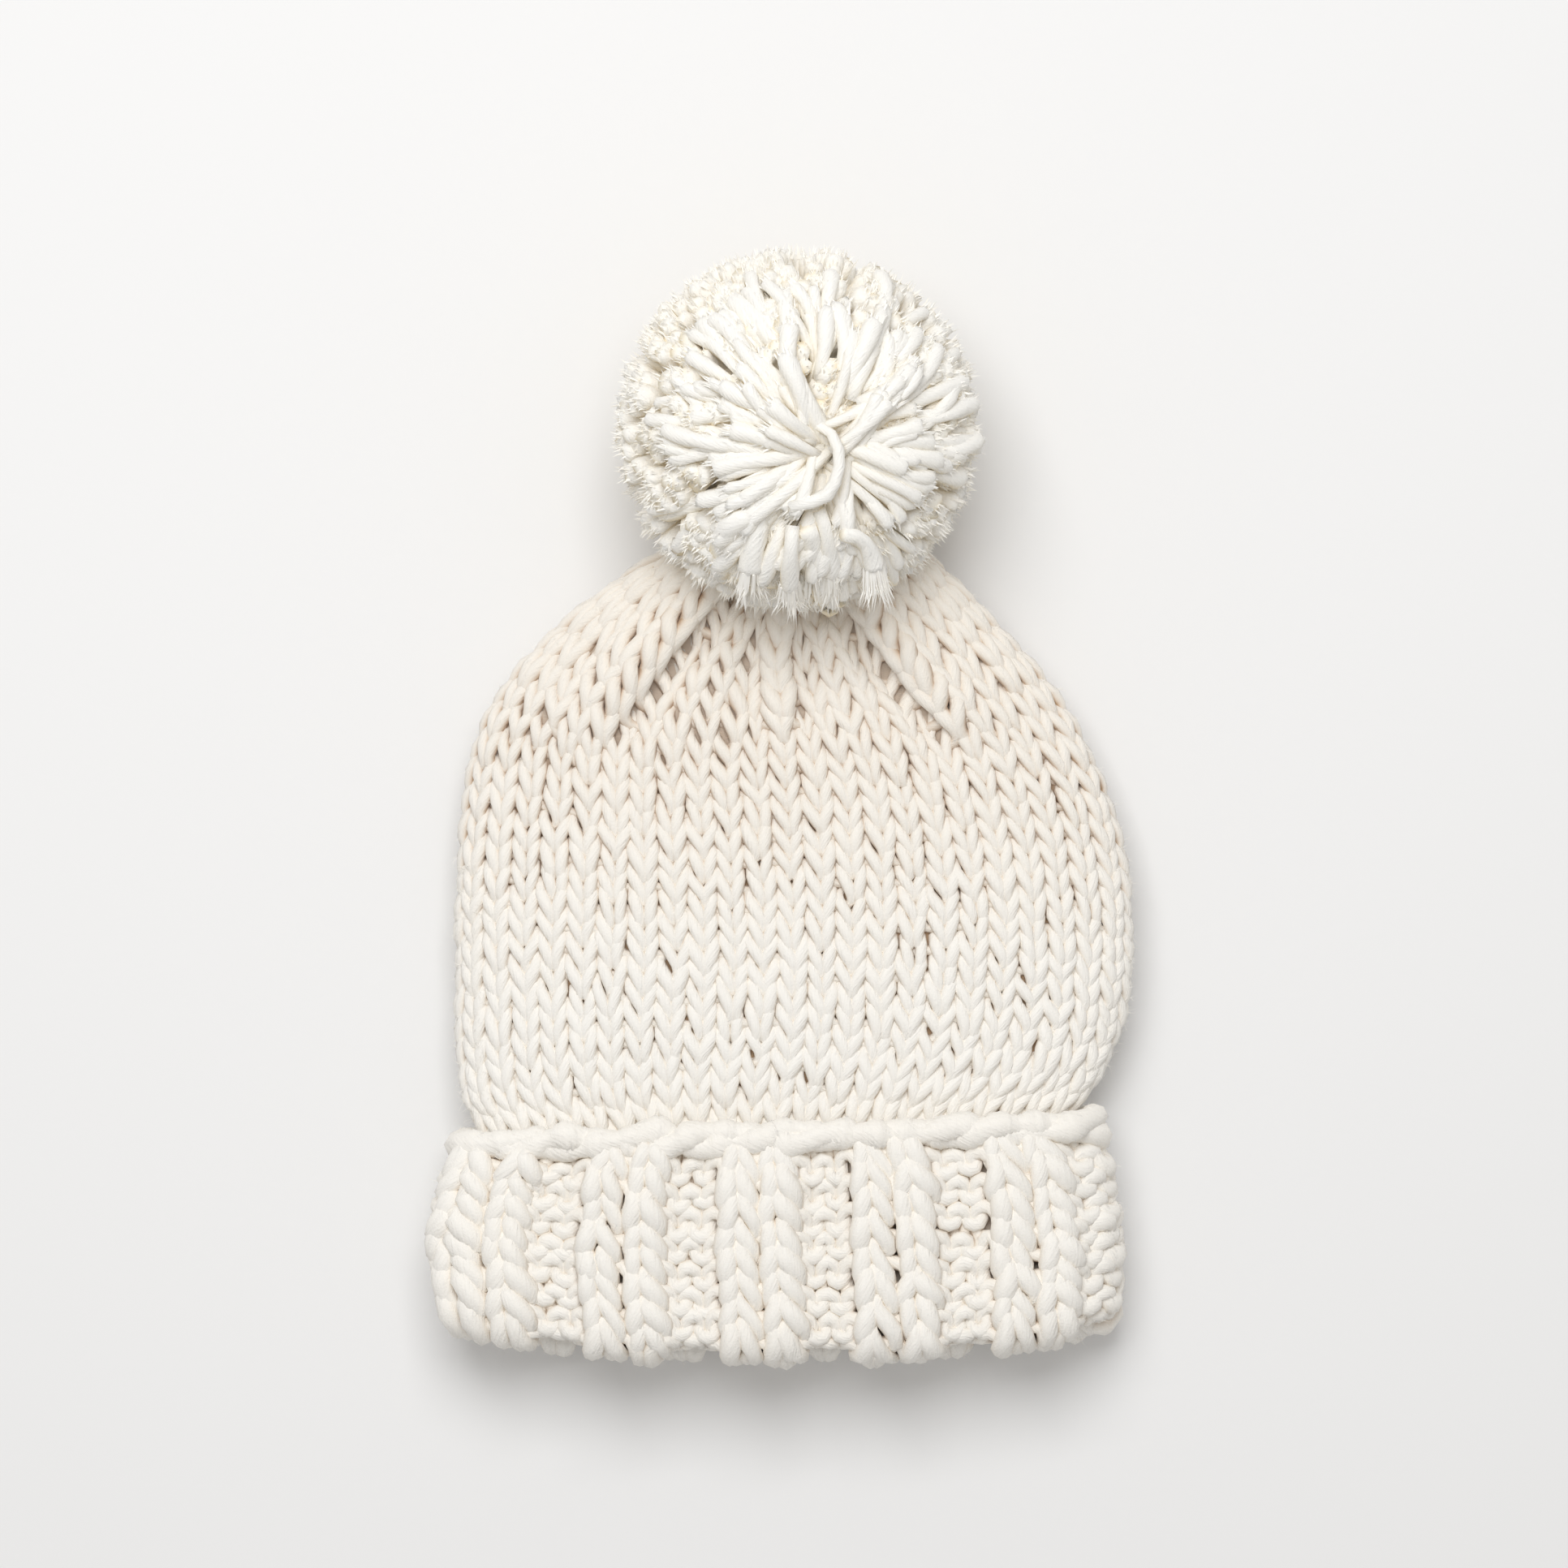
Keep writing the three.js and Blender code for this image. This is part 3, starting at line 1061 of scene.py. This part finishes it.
@dataclass(frozen=True)
class EdgeRope:
    """Soft cast-on edge of two twisted yarns along the cuff's top."""

    yarn: Yarn = Yarn(3.5, fluff_and_painted_shade_sheet=0.04)
    stations: int = 640
    level: float = -90.0
    pitch: float = 33.0
    offset: float = 1.15
    flatness: float = 0.7
    along: float = 1.0
    height: float = 1.0
    swell: float = 1.02
    waves: tuple[Wave, Wave] = (Wave(0.9, 7), Wave(0.6, 19))
    swells: tuple[Wave, Wave] = (Wave(0.14, 23), Wave(0.12, 41))
    # Shade painted evenly all along the rope.
    painted_shade: float = 0.12

    def lay(self, skin: Skin, cuff: "Cuff") -> None:
        """Twist the two yarns round each other along the top edge of a cuff.

        Args:
            skin: Mesh that takes the rope.
            cuff: Cuff that carries it.
        """
        share = np.arange(self.stations) / self.stations
        turns = round(float(cuff.form.girth(self.level)) / self.pitch)
        painted_shade = np.full((self.stations, self.yarn.sides), self.painted_shade)
        for start in (0.0, math.pi):
            angle = 2 * math.pi * turns * share + start
            wave = self.waves[0].at(share, start) + self.waves[1].at(share, -start)
            along = self.along + self.offset * np.cos(angle) + wave
            height = self.height + self.offset * self.flatness * np.sin(angle)
            path, facing = cuff.at(share, along, height)
            swell = self.swell + self.swells[0].at(share, start) + self.swells[1].at(share)
            self.yarn.lay_course(skin, path, facing, swell, painted_shade, 0, self.stations)


@dataclass
class Cuff:
    """Ribbed cuff, two knit and two purl, turned up over the crown's hem."""

    form: HatForm
    yarn: Yarn = Yarn(2.1, fluff_and_painted_shade_sheet=0.03)
    loop: Loop = Loop(
        pinch=0.03,
        reach=1.05,
        slant=0.13,
        depth=1.6,
        tilt=0.6,
        plump=0.12,
        purl_reach=0.82,
        fill=0.4,
        hand=Hand(wild=1.1),
    )
    rope: EdgeRope = EdgeRope()
    rib: tuple[Stitch, ...] = (Stitch.KNIT, Stitch.KNIT, Stitch.PURL, Stitch.PURL)
    repeats: int = 10
    knit_share: float = 0.62
    rib_rise: float = 1.9
    rib_ease: float = 0.1
    rib_span: tuple[float, float] = (-2.0, 12.0)
    centre_x: float = -5.0
    face_y: float = -110.0
    seat_gap: float = 0.4
    wall: float = 7.5
    fold_rise: float = 8.8
    edge_rise: float = 63.0
    inner_rise: float = 26.0
    hem_margin: float = 0.5
    first_row: float = 6.5
    row_pitch: float = 7.1
    row_wave: Wave = Wave(0.6, 4)
    row_wave_pitch: float = 9.0
    top_margin: float = 2.0
    widest: float = 1.35
    # A sheet inside the cuff, painted with the shade that shows between the loops, lighter at the hat's
    # sides.
    core_ends: tuple[float, float] = (2.0, 6.0)
    core_grid: tuple[int, int] = (36, 128)
    core_depths: tuple[float, float] = (2.2, 2.8)
    core_painted_shade: float = 0.75
    flank_fade: float = 0.5
    flank_width: float = 0.04
    fuzz: Fuzz = Fuzz(1500)
    seed: int = 23

    def __post_init__(self) -> None:
        """Find the fold's middle and radius from the two layers, and the lengths that follow."""
        outer = self.seat_gap + self.wall / 2
        inner = -self.form.wall / 2
        self.fold_out = (outer + inner) / 2
        self.fold_radius = (outer - inner) / 2
        self.face_length = self.edge_rise - self.fold_rise
        self.turn_length = math.pi * self.fold_radius
        self.total = self.face_length + self.turn_length + self.inner_rise
        self.girth = float(self.form.girth(self.face_y))

    def at(self, share: Array, along: Array, height: Array) -> tuple[Array, Array]:
        """Place points on the cuff.

        Args:
            share: Shares round the hat.
            along: Distance from the top edge down the face, round the fold and up the inside.
            height: Height over the layer's middle, towards the face.

        Returns:
            Points and the directions that the face looks.
        """
        angle = np.clip((along - self.face_length) / self.fold_radius, 0.0, math.pi)
        turned = np.maximum(along - self.face_length - self.turn_length, 0.0)
        up = self.edge_rise - np.minimum(along, self.face_length) + turned
        reach = self.fold_radius + height
        out = self.fold_out + reach * np.cos(angle)
        up = up - reach * np.sin(angle)
        y = self.form.fold_y + up
        hem = np.maximum(y, self.form.level_y[0] + self.hem_margin)
        point, facing = self.form.at(share, hem)
        flat = unit(facing * np.array([1.0, 0.0, 1.0]))
        point = point + flat * out[..., None]
        point[..., 1] = y + self.form.lift(point[..., 0], y)
        look = flat * np.cos(angle)[..., None]
        look[..., 1] = -np.sin(angle)
        return point, look

    def edges(self) -> Array:
        """Share the stitches round the cuff.

        Returns:
            Shares where the stitches meet, with the knit ribs wider than the purl ones.
        """
        knit, purl = self.knit_share / 2, (1 - self.knit_share) / 2
        repeat = np.cumsum([0.0, knit, knit, purl])
        starts = np.arange(self.repeats)[:, None] + repeat[None] - knit
        return np.append(starts.ravel(), self.repeats - knit) / self.repeats + self.centre_x / self.girth

    def build(self) -> Skin:
        """Knit the cuff from its top edge round the fold to the inside of the hat.

        Returns:
            Faces of the ribs and of the rope along their top.
        """
        rng = np.random.default_rng(self.seed)
        skin = Skin()
        edges = self.edges()
        face = np.tile([stitch.value for stitch in self.rib], self.repeats)
        start = edges[0]
        for row in np.arange(self.first_row, self.total, self.row_pitch):
            course = self.loop.course(edges - start, face, np.zeros(len(face)), rng)
            share = course.share + start
            along = row + self.row_pitch * course.rise + self.row_wave.at(share, row / self.row_wave_pitch)
            height = course.height + self._rib(share, row)
            path, facing = self.at(share, np.maximum(along, self.top_margin), height)
            width = course.width * self._stretch(path, share)
            self.yarn.lay_course(skin, path, facing, width, self.yarn.painted_shade(course.painted_shade), 0, len(path))
        self.rope.lay(skin, self)
        return skin

    def _rib(self, share: Array, row: float) -> Array:
        """Raise the knit wales over the purl ones, and less so under the top edge.

        Args:
            share: Shares round the hat.
            row: Distance of the row from the top edge.

        Returns:
            Heights over the layer's middle.
        """
        phase = (share - self.centre_x / self.girth) * self.repeats
        off = np.abs(phase - np.round(phase))
        half = self.knit_share / 2
        rib = self.rib_rise * (1 - 2 * smoothstep(off, half - self.rib_ease, half + self.rib_ease))
        return rib * float(smoothstep(row, *self.rib_span))

    def _stretch(self, path: Array, share: Array) -> Array:
        """Compare each stitch's width with its share of the girth, which it passes at the hat's sides.

        Args:
            path: Centre line of a course.
            share: Share round the hat at each station.

        Returns:
            How far the yarn has to thicken at each station, so that no gaps open.
        """
        half = self.loop.steps // 2
        apart = np.linalg.norm(np.roll(path, -half, axis=0) - np.roll(path, half, axis=0), axis=1)
        plain = self.girth * ((np.roll(share, -half) - np.roll(share, half)) % 1.0)
        return np.clip(apart / plain, 1.0, self.widest)

    def core(self) -> Skin:
        """Lay a thin sheet inside the cuff, painted with shade that shows through the gaps between the loops.

        Returns:
            A thin closed shell that follows both layers, with less painted shade at the hat's sides.
        """
        rows, columns = self.core_grid
        end, start = self.core_ends
        share, along = np.meshgrid(np.arange(columns) / columns, np.linspace(self.total - end, start, rows))
        outer, inner = (self.at(share, along, np.full_like(share, -depth))[0] for depth in self.core_depths)
        flank = hump(np.minimum(share, 1 - share), RIGHT_SIDE, self.flank_width)
        skin = Skin()
        skin.add_shell(outer, inner, self.core_painted_shade - self.flank_fade * flank)
        return skin

    def dress(self, dresser: Dresser) -> None:
        """Build the cuff's pieces and dress them.

        Args:
            dresser: Maker of the finishes, which hands the pieces to the frame.
        """
        rib = dresser.dress(self.build(), "cuff", "rib")
        dresser.dress(self.fuzz.grow(rib), "cuff", "fuzz", loose=True)
        # A sheet painted with shade, seen through the gaps between the loops.
        dresser.dress(self.core(), "cuff", "fluff_and_painted_shade_sheet")


@dataclass(frozen=True)
class Brush:
    """Loose fibres that fray out of the cut end of a strand."""

    fibres: int
    length: float
    length_shares: tuple[float, float] = (0.5, 1.2)
    yarn: Yarn = Yarn(0.42, sides=3, ply_depth=0.0)
    taper: float = 0.6
    station: int = 7
    places: tuple[float, float] = (0.2, 0.92)
    knee: float = 0.6
    knee_splay: float = 0.08
    tip_splay: float = 0.2
    tip_stray: float = 0.08

    def grow(
        self, skin: Skin, path: Array, width: Array, ahead: Array, rng: np.random.Generator
    ) -> None:
        """Lay fibres along the end of each strand and splay them past its cut.

        Args:
            skin: Mesh that takes the fibres.
            path: Centre line of each strand.
            width: Radius of each strand at each station.
            ahead: Direction of each strand at its cut.
            rng: Source of the fibres' unevenness.
        """
        each = (len(path), self.fibres, 1, 1)
        pick = [self.station]
        ahead = ahead[:, None, None]
        around = rng.normal(0, 1, (*each[:3], 3))
        around = unit(around - (around * ahead).sum(-1, keepdims=True) * ahead)
        root = path[:, None, pick] + around * width[:, None, pick, None] * rng.uniform(*self.places, each)
        past = self.length * rng.uniform(*self.length_shares, each)
        knee = root + (ahead * self.knee + around * self.knee_splay) * past
        stray = rng.normal(0, self.tip_stray, around.shape)
        tip = root + (ahead + around * self.tip_splay + stray) * past
        route = np.concatenate([root, knee], axis=2)
        lean = np.broadcast_to(np.cross(ahead, around) + OFF_AXIS, route.shape)
        route, lean = route.reshape(-1, 2, 3), lean.reshape(-1, 2, 3)
        rings, run = self.yarn.rings(route, lean, np.tile([1.0, self.taper], (len(route), 1)), False)
        skin.add_tubes(rings, np.zeros(rings.shape[:3]), route[:, 0], tip.reshape(-1, 3), run)


@dataclass(frozen=True)
class Combing:
    """Locks combed outwards over the front of the ball from its parting.

    Each lock stands a golden share of a turn from the one before. The other angles are in radians.
    """

    locks: int = 80
    strands: int = 3
    turn: float = 0.381966
    turn_stray: float = 0.03
    start: float = 0.75
    start_fall: float = 1.4
    spans: tuple[float, float] = (0.4, 0.75)
    span_stray: float = 0.06
    swirl: float = 0.09
    swirl_start: float = 0.4
    swirl_fall: float = 1.5
    depths: tuple[float, float] = (32.0, 41.0)
    inset: float = 2.5
    unevenness: float = 5.0
    shift: tuple[float, float] = (3.0, 2.5)
    sizes: tuple[float, float] = (0.65, 1.0)

    def lay(self, ball: "Pompom", rng: np.random.Generator) -> tuple[Array, Array]:
        """Lay the strands of the locks.

        Args:
            ball: Pompom that carries the locks.
            rng: Source of their unevenness.

        Returns:
            Centre line of each strand, and its share of the yarn's radius.
        """
        part = unit(np.array(ball.part))
        first = unit(np.cross(part, np.array([0.0, 1.0, 0.0])))
        second = np.cross(part, first)
        each = (self.locks * self.strands, 1, 1)
        s = ball.steps
        turn = 2 * math.pi * (np.arange(self.locks) * self.turn + rng.normal(0, self.turn_stray, self.locks))
        low = self.start * rng.uniform(0.0, 1.0, self.locks) ** self.start_fall
        high = low + rng.uniform(*self.spans, self.locks)
        turn, low, high = (np.repeat(value, self.strands)[:, None, None] for value in (turn, low, high))
        angle = low + (high + rng.normal(0, self.span_stray, each) - low) * s
        swirl = turn + rng.normal(0, self.swirl, each) * (self.swirl_start + s**self.swirl_fall)
        way = np.cos(angle) * part + np.sin(angle) * (np.cos(swirl) * first + np.sin(swirl) * second)
        deep = rng.uniform(*self.depths, each)
        rim = ball.radius - self.inset - rng.uniform(0.0, self.unevenness, each)
        reach = deep + (rim - deep) * np.sin(s * math.pi / 2)
        across, down = self.shift
        shift = first * rng.normal(0, across, each) + second * rng.normal(0, down, each)
        path = way * reach + shift * (1 - s) + np.array(ball.centre)
        return path, rng.uniform(*self.sizes, len(path))


@dataclass(frozen=True)
class Tassels:
    """Brush-ended strands that hang over the front of the crown along the ball's lower edge."""

    count: int = 6
    size: float = 1.3
    size_shares: tuple[float, float] = (0.85, 1.1)
    brush: Brush = Brush(90, 12.0)
    span: tuple[float, float] = (-16.0, 23.0)
    span_stray: float = 1.5
    drop_y: float = 57.0
    drop_bow: float = 0.012
    drop_middle: float = 4.0
    drop_stray: float = 5.0
    end_z: float = 70.0
    end_stray: float = 4.0
    start_spread: float = 0.6
    start_y: float = 78.0
    start_z: float = 84.0
    start_stray: float = 4.0
    knee_spread: float = 0.95
    knee_lift: float = 9.0
    knee_z: float = 83.0
    knee_stray: float = 3.0

    def lay(self, ball: "Pompom", rng: np.random.Generator) -> tuple[Array, Array]:
        """Bend the tassels over the ball's lower edge.

        Args:
            ball: Pompom that carries the tassels.
            rng: Source of their unevenness.

        Returns:
            Centre line of each tassel, and its share of the yarn's radius.
        """
        count, s, middle = self.count, ball.steps, ball.centre[0]
        x = np.linspace(*self.span, count) + rng.normal(0, self.span_stray, count)
        y = self.drop_y + self.drop_bow * (x - self.drop_middle) ** 2 + rng.uniform(0, self.drop_stray, count)
        end_z = self.end_z + rng.normal(0, self.end_stray, count)
        start_y = self.start_y + rng.normal(0, self.start_stray, count)
        knee_z = self.knee_z + rng.normal(0, self.knee_stray, count)
        start_x, knee_x = (middle + spread * (x - middle) for spread in (self.start_spread, self.knee_spread))
        end = np.stack([x, y, end_z], -1)[:, None]
        start = np.stack([start_x, start_y, np.full(count, self.start_z)], -1)[:, None]
        knee = np.stack([knee_x, y + self.knee_lift, knee_z], -1)[:, None]
        path = start * (1 - s) ** 2 + 2 * knee * s * (1 - s) + end * s**2
        return path, self.size * rng.uniform(*self.size_shares, count)


@dataclass
class Pompom:
    """Ball of cut wool strands with frayed ends, parted towards the front."""

    form: HatForm
    centre: tuple[float, float, float] = (4.5, 100.6, 46.0)
    radius: float = 51.0
    heart: float = 9.0
    strands: int = 1200
    strand_stray: float = 0.05
    clumps: int = 110
    clump_turn: float = 1.3
    clump_stray: float = 0.06
    clump_pull: float = 0.45
    yarn: Yarn = Yarn(2.25, sides=7, ply_depth=0.1, ply_pitch=13.0, fluff_and_painted_shade_sheet=0.04)
    stations: tuple[float, ...] = (0.0, 0.24, 0.44, 0.6, 0.72, 0.82, 0.9, 0.96, 1.0)
    flare: tuple[float, ...] = (0.8, 0.88, 0.95, 1.0, 1.05, 1.1, 1.16, 1.18, 0.95)
    size_stray: float = 0.1
    bow: float = 1.2
    bend: float = 3.0
    brush: Brush = Brush(10, 3.6)
    fray: float = 0.5
    tip_inset: float = 2.2
    tip_stray: float = 2.0
    tip_point: tuple[float, float] = (0.4, 0.5)
    part: tuple[float, float, float] = (0.20, -0.16, 0.966)
    part_spread: float = 0.16
    part_reach: float = 0.5
    part_depth: float = 8.0
    part_width: float = 0.75
    combing: Combing = Combing()
    tassels: Tassels = Tassels()
    curl: tuple[tuple[float, float], ...] = (
        (6.2, 100.4),
        (12.3, 99.1),
        (15.4, 93.0),
        (14.7, 85.7),
        (11.0, 80.9),
        (2.4, 78.4),
    )
    curl_radius: float = 48.0
    curl_dip: float = 9.0
    curl_size: float = 0.78
    lean: tuple[float, float, float] = (0.13, 0.31, 0.94)
    sink: float = 9.0
    crown_clearance: float = 0.6
    floor_clearance: float = 0.9
    # Painted shade that deepens towards the ball's middle, where the strands shade each other.
    shade_start: float = 2.6
    shade_fall: float = 2.8
    packed: float = 36.5
    packed_lumps: float = 1.3
    packed_grid: tuple[int, int] = (60, 100)
    # Shade painted evenly over the packed wool.
    packed_painted_shade: float = 0.35
    seed: int = 37

    @property
    def steps(self) -> Array:
        """Shares along a strand, shaped for strand, station and coordinate."""
        return np.array(self.stations)[None, :, None]

    def _tips(self, rng: np.random.Generator) -> tuple[Array, Array, Array]:
        """Choose where the strands start out, where their tips point and how far they reach.

        Args:
            rng: Source of the strands' unevenness.

        Returns:
            Directions of the starts, directions of the tips and distances of the tips from the middle.
        """
        strands, clumps = (self.strands, 3), (self.clumps, 3)
        out = unit(ball_directions(self.strands) + rng.normal(0, self.strand_stray, strands))
        clump = ball_directions(self.clumps, self.clump_turn) + rng.normal(0, self.clump_stray, clumps)
        clump = unit(clump)
        nearest = clump[np.argmax(out @ clump.T, axis=1)]
        tips = unit(out + self.clump_pull * (nearest - out) + rng.normal(0, self.strand_stray, strands))
        part = unit(np.array(self.part))
        away = unit(tips - (tips @ part)[:, None] * part)
        angle = np.arccos(np.clip(tips @ part, -1, 1))
        reach = self.radius - self.tip_inset - self.part_depth * hump(angle, 0.0, self.part_width)
        reach = reach - np.abs(rng.normal(0, self.tip_stray, self.strands))
        angle = angle + self.part_spread * hump(angle, 0.0, self.part_reach)
        return out, np.cos(angle)[:, None] * part + np.sin(angle)[:, None] * away, reach

    def build(self) -> dict[str, Skin]:
        """Lay the strands from the ball's heart to its surface, then the combed, hanging and loose ones.

        Returns:
            Faces of the strands and of their brushes.
        """
        rng = np.random.default_rng(self.seed)
        skins = {"strands": Skin(), "brush": Skin()}
        out, tips, reach = self._tips(rng)
        s = self.steps
        way = unit(out[:, None] * (1 - s**self.bow) + tips[:, None] * s**self.bow)
        bend = np.cross(tips, unit(rng.normal(0, 1, tips.shape)))[:, None]
        bend = bend * np.abs(rng.normal(0, self.bend, (self.strands, 1, 1)))
        path = way * (self.heart + (reach[:, None, None] - self.heart) * s) + bend * np.sin(math.pi * s)
        self._lay(skins, path + np.array(self.centre), np.ones(self.strands), self.brush, rng)
        self._lay(skins, *self.combing.lay(self, rng), self.brush, rng)
        self._lay(skins, *self.tassels.lay(self, rng), self.tassels.brush, rng)
        self._lay(skins, self._loose(), np.array([self.curl_size]), self.brush, rng)
        return skins

    def _loose(self) -> Array:
        """Curl one loose strand over the front, on a sphere that its start dips below.

        Returns:
            Centre line of the strand.
        """
        knots = np.array(self.curl)
        s = np.linspace(0.0, 1.0, len(self.stations))
        x, y = (through(np.linspace(0.0, 1.0, len(knots)), column, s) for column in knots.T)
        centre = self.centre
        reach = self.curl_radius - self.curl_dip * (1 - s) ** 3
        z = centre[2] + np.sqrt(reach**2 - (x - centre[0]) ** 2 - (y - centre[1]) ** 2)
        return np.stack([x, y, z], -1)[None]

    def _lay(
        self, skins: dict[str, Skin], path: Array, size: Array, brush: Brush, rng: np.random.Generator
    ) -> None:
        """Keep strands off the floor and out of the crown, then sweep them and fray their ends.

        Args:
            skins: Meshes of the strands and of their brushes.
            path: Centre line of each strand.
            size: Share of the yarn's radius, one a strand.
            brush: Fibres at the end of each strand.
            rng: Source of the strands' unevenness.
        """
        thick = self.yarn.radius
        rest = self.form.top(path[..., 0], path[..., 1])
        sunk = (path[:, -1, 2] < rest[:, -1] - self.sink) & (rest[:, -1] > 0)
        path, rest, size = path[~sunk], rest[~sunk], size[~sunk]
        lowest = np.maximum(rest + self.crown_clearance * thick, self.floor_clearance * thick)
        path[..., 2] = np.maximum(path[..., 2], lowest)
        count = len(path)
        width = size[:, None] * np.array(self.flare)[None] * (1 + rng.normal(0, self.size_stray, (count, 1)))
        lean = np.broadcast_to(np.array(self.lean), path.shape)
        rings, length = self.yarn.rings(path, lean, width, False)
        ahead = unit(path[:, -1] - path[:, -2])
        rings[:, -1] += ahead[:, None] * rng.normal(0, self.fray, (count, self.yarn.sides, 1))
        # Paint more shade on the strands nearer the ball's middle.
        out = np.linalg.norm(path - np.array(self.centre), axis=-1) / self.radius
        painted_shade = self.yarn.painted_shade(np.clip(self.shade_start - self.shade_fall * out, 0.0, 1.0))
        tip = path[:, -1] + ahead * rng.normal(*self.tip_point, (count, 1))
        skins["strands"].add_tubes(rings, painted_shade, path[:, 0], tip, length)
        brush.grow(skins["brush"], path, width * thick, ahead, rng)

    def core(self) -> Skin:
        """Fill the ball with packed wool.

        Returns:
            A lumpy sphere, as circles of latitude between two poles on the Y axis.
        """
        rows, columns = self.packed_grid
        angle = math.pi * np.arange(1, rows + 1) / (rows + 1)
        turn = 2 * math.pi * np.arange(columns) / columns
        wide, along = np.sin(angle)[:, None], np.repeat(-np.cos(angle)[:, None], columns, axis=1)
        way = np.stack([wide * np.sin(turn), along, wide * np.cos(turn)], -1)
        rng = np.random.default_rng(self.seed)
        reach = self.packed + rng.normal(0.0, self.packed_lumps, (rows, columns, 1))
        centre, pole = np.array([self.centre]), np.array([[0.0, self.packed, 0.0]])
        rings = (centre + reach * way)[None]
        painted_shade = np.full((1, rows, columns), self.packed_painted_shade)
        skin = Skin()
        skin.add_tubes(rings, painted_shade, centre - pole, centre + pole, self.packed * angle[None])
        return skin

    def dress(self, dresser: Dresser) -> None:
        """Build the pompom's pieces and dress them.

        Args:
            dresser: Maker of the finishes, which hands the pieces to the frame.
        """
        for part, skin in self.build().items():
            dresser.dress(skin, "pompom", part, loose=part == "brush")
        dresser.dress(self.core(), "pompom", "heart")


@dataclass
class Studio:
    """Pale floor, soft light and a camera straight above."""

    middle: tuple[float, float] = (0.88, 5.39)
    frame_width: float = 425.0
    focus_height: float = 28.0
    distance: float = 2500.0
    sensor: float = 36.0
    clip_end: float = 20000.0
    max_bounces: int = 14
    diffuse_bounces: int = 12
    key_place: tuple[float, float, float] = (-110.0, 550.0, 1340.0)
    key_size: float = 850.0
    key_watts: float = 14.0
    key_aim: tuple[float, float, float] = (0.0, 0.0, 30.0)
    sky_tone: tuple[float, float, float, float] = (1.0, 0.985, 0.965, 1.0)
    sky_strength: float = 0.5
    floor_half: float = 4000.0
    floor_tone: tuple[float, float, float, float] = (0.84, 0.84, 0.84, 1.0)
    floor_roughness: float = 0.9

    def build(self) -> None:
        """Make the floor, the light, the sky and the camera."""
        cycles = bpy.context.scene.cycles
        cycles.max_bounces = self.max_bounces
        cycles.diffuse_bounces = self.diffuse_bounces
        bpy.context.scene.view_settings.view_transform = "Standard"
        self._floor()
        self._key()
        self._sky()
        self._camera()

    @staticmethod
    def _place(name: str, data: bpy.types.ID) -> bpy.types.Object:
        """Link a new object to the scene.

        Args:
            name: Name of the object.
            data: Mesh, light or camera that it shows.

        Returns:
            The object.
        """
        thing = bpy.data.objects.new(name, data)
        bpy.context.scene.collection.objects.link(thing)
        return thing

    def _floor(self) -> None:
        """Lay a plain pale floor at the hat's resting height."""
        half = self.floor_half * MM
        corners = [(-half, -half, 0.0), (half, -half, 0.0), (half, half, 0.0), (-half, half, 0.0)]
        data = bpy.data.meshes.new("floor")
        data.from_pydata(corners, [], [(0, 1, 2, 3)])
        finish = Graph("floor").surface({"Base Color": self.floor_tone, "Roughness": self.floor_roughness})
        data.materials.append(finish)
        self._place("floor", data)

    def _key(self) -> None:
        """Hang a square soft light that faces the hat."""
        data = bpy.data.lights.new("key", "AREA")
        data.size = self.key_size * MM
        data.energy = self.key_watts
        light = self._place("key", data)
        light.location = Vector(self.key_place) * MM
        aim = Vector(self.key_aim) * MM - light.location
        light.rotation_euler = aim.to_track_quat("-Z", "Y").to_euler()

    def _sky(self) -> None:
        """Light the hat evenly from all sides."""
        world = bpy.data.worlds.new("studio")
        world.use_nodes = True
        inputs = world.node_tree.nodes["Background"].inputs
        inputs["Color"].default_value = self.sky_tone
        inputs["Strength"].default_value = self.sky_strength
        bpy.context.scene.world = world

    def _camera(self) -> None:
        """Hang the camera straight above, with a lens that frames the hat at its focus height."""
        data = bpy.data.cameras.new("above")
        data.sensor_width = self.sensor
        data.lens = self.sensor * (self.distance - self.focus_height) / self.frame_width
        data.clip_end = self.clip_end * MM
        camera = self._place("above", data)
        camera.location = Vector((*self.middle, self.distance)) * MM
        bpy.context.scene.camera = camera


def main() -> None:
    """Build and dress the hat's pieces, then the studio."""
    logging.basicConfig(level=logging.INFO, format="%(message)s")
    form, dresser = HatForm(), Dresser()
    for part in (Crown(form), Cuff(form), Pompom(form)):
        part.dress(dresser)
    Studio().build()


if __name__ == "__main__":
    main()
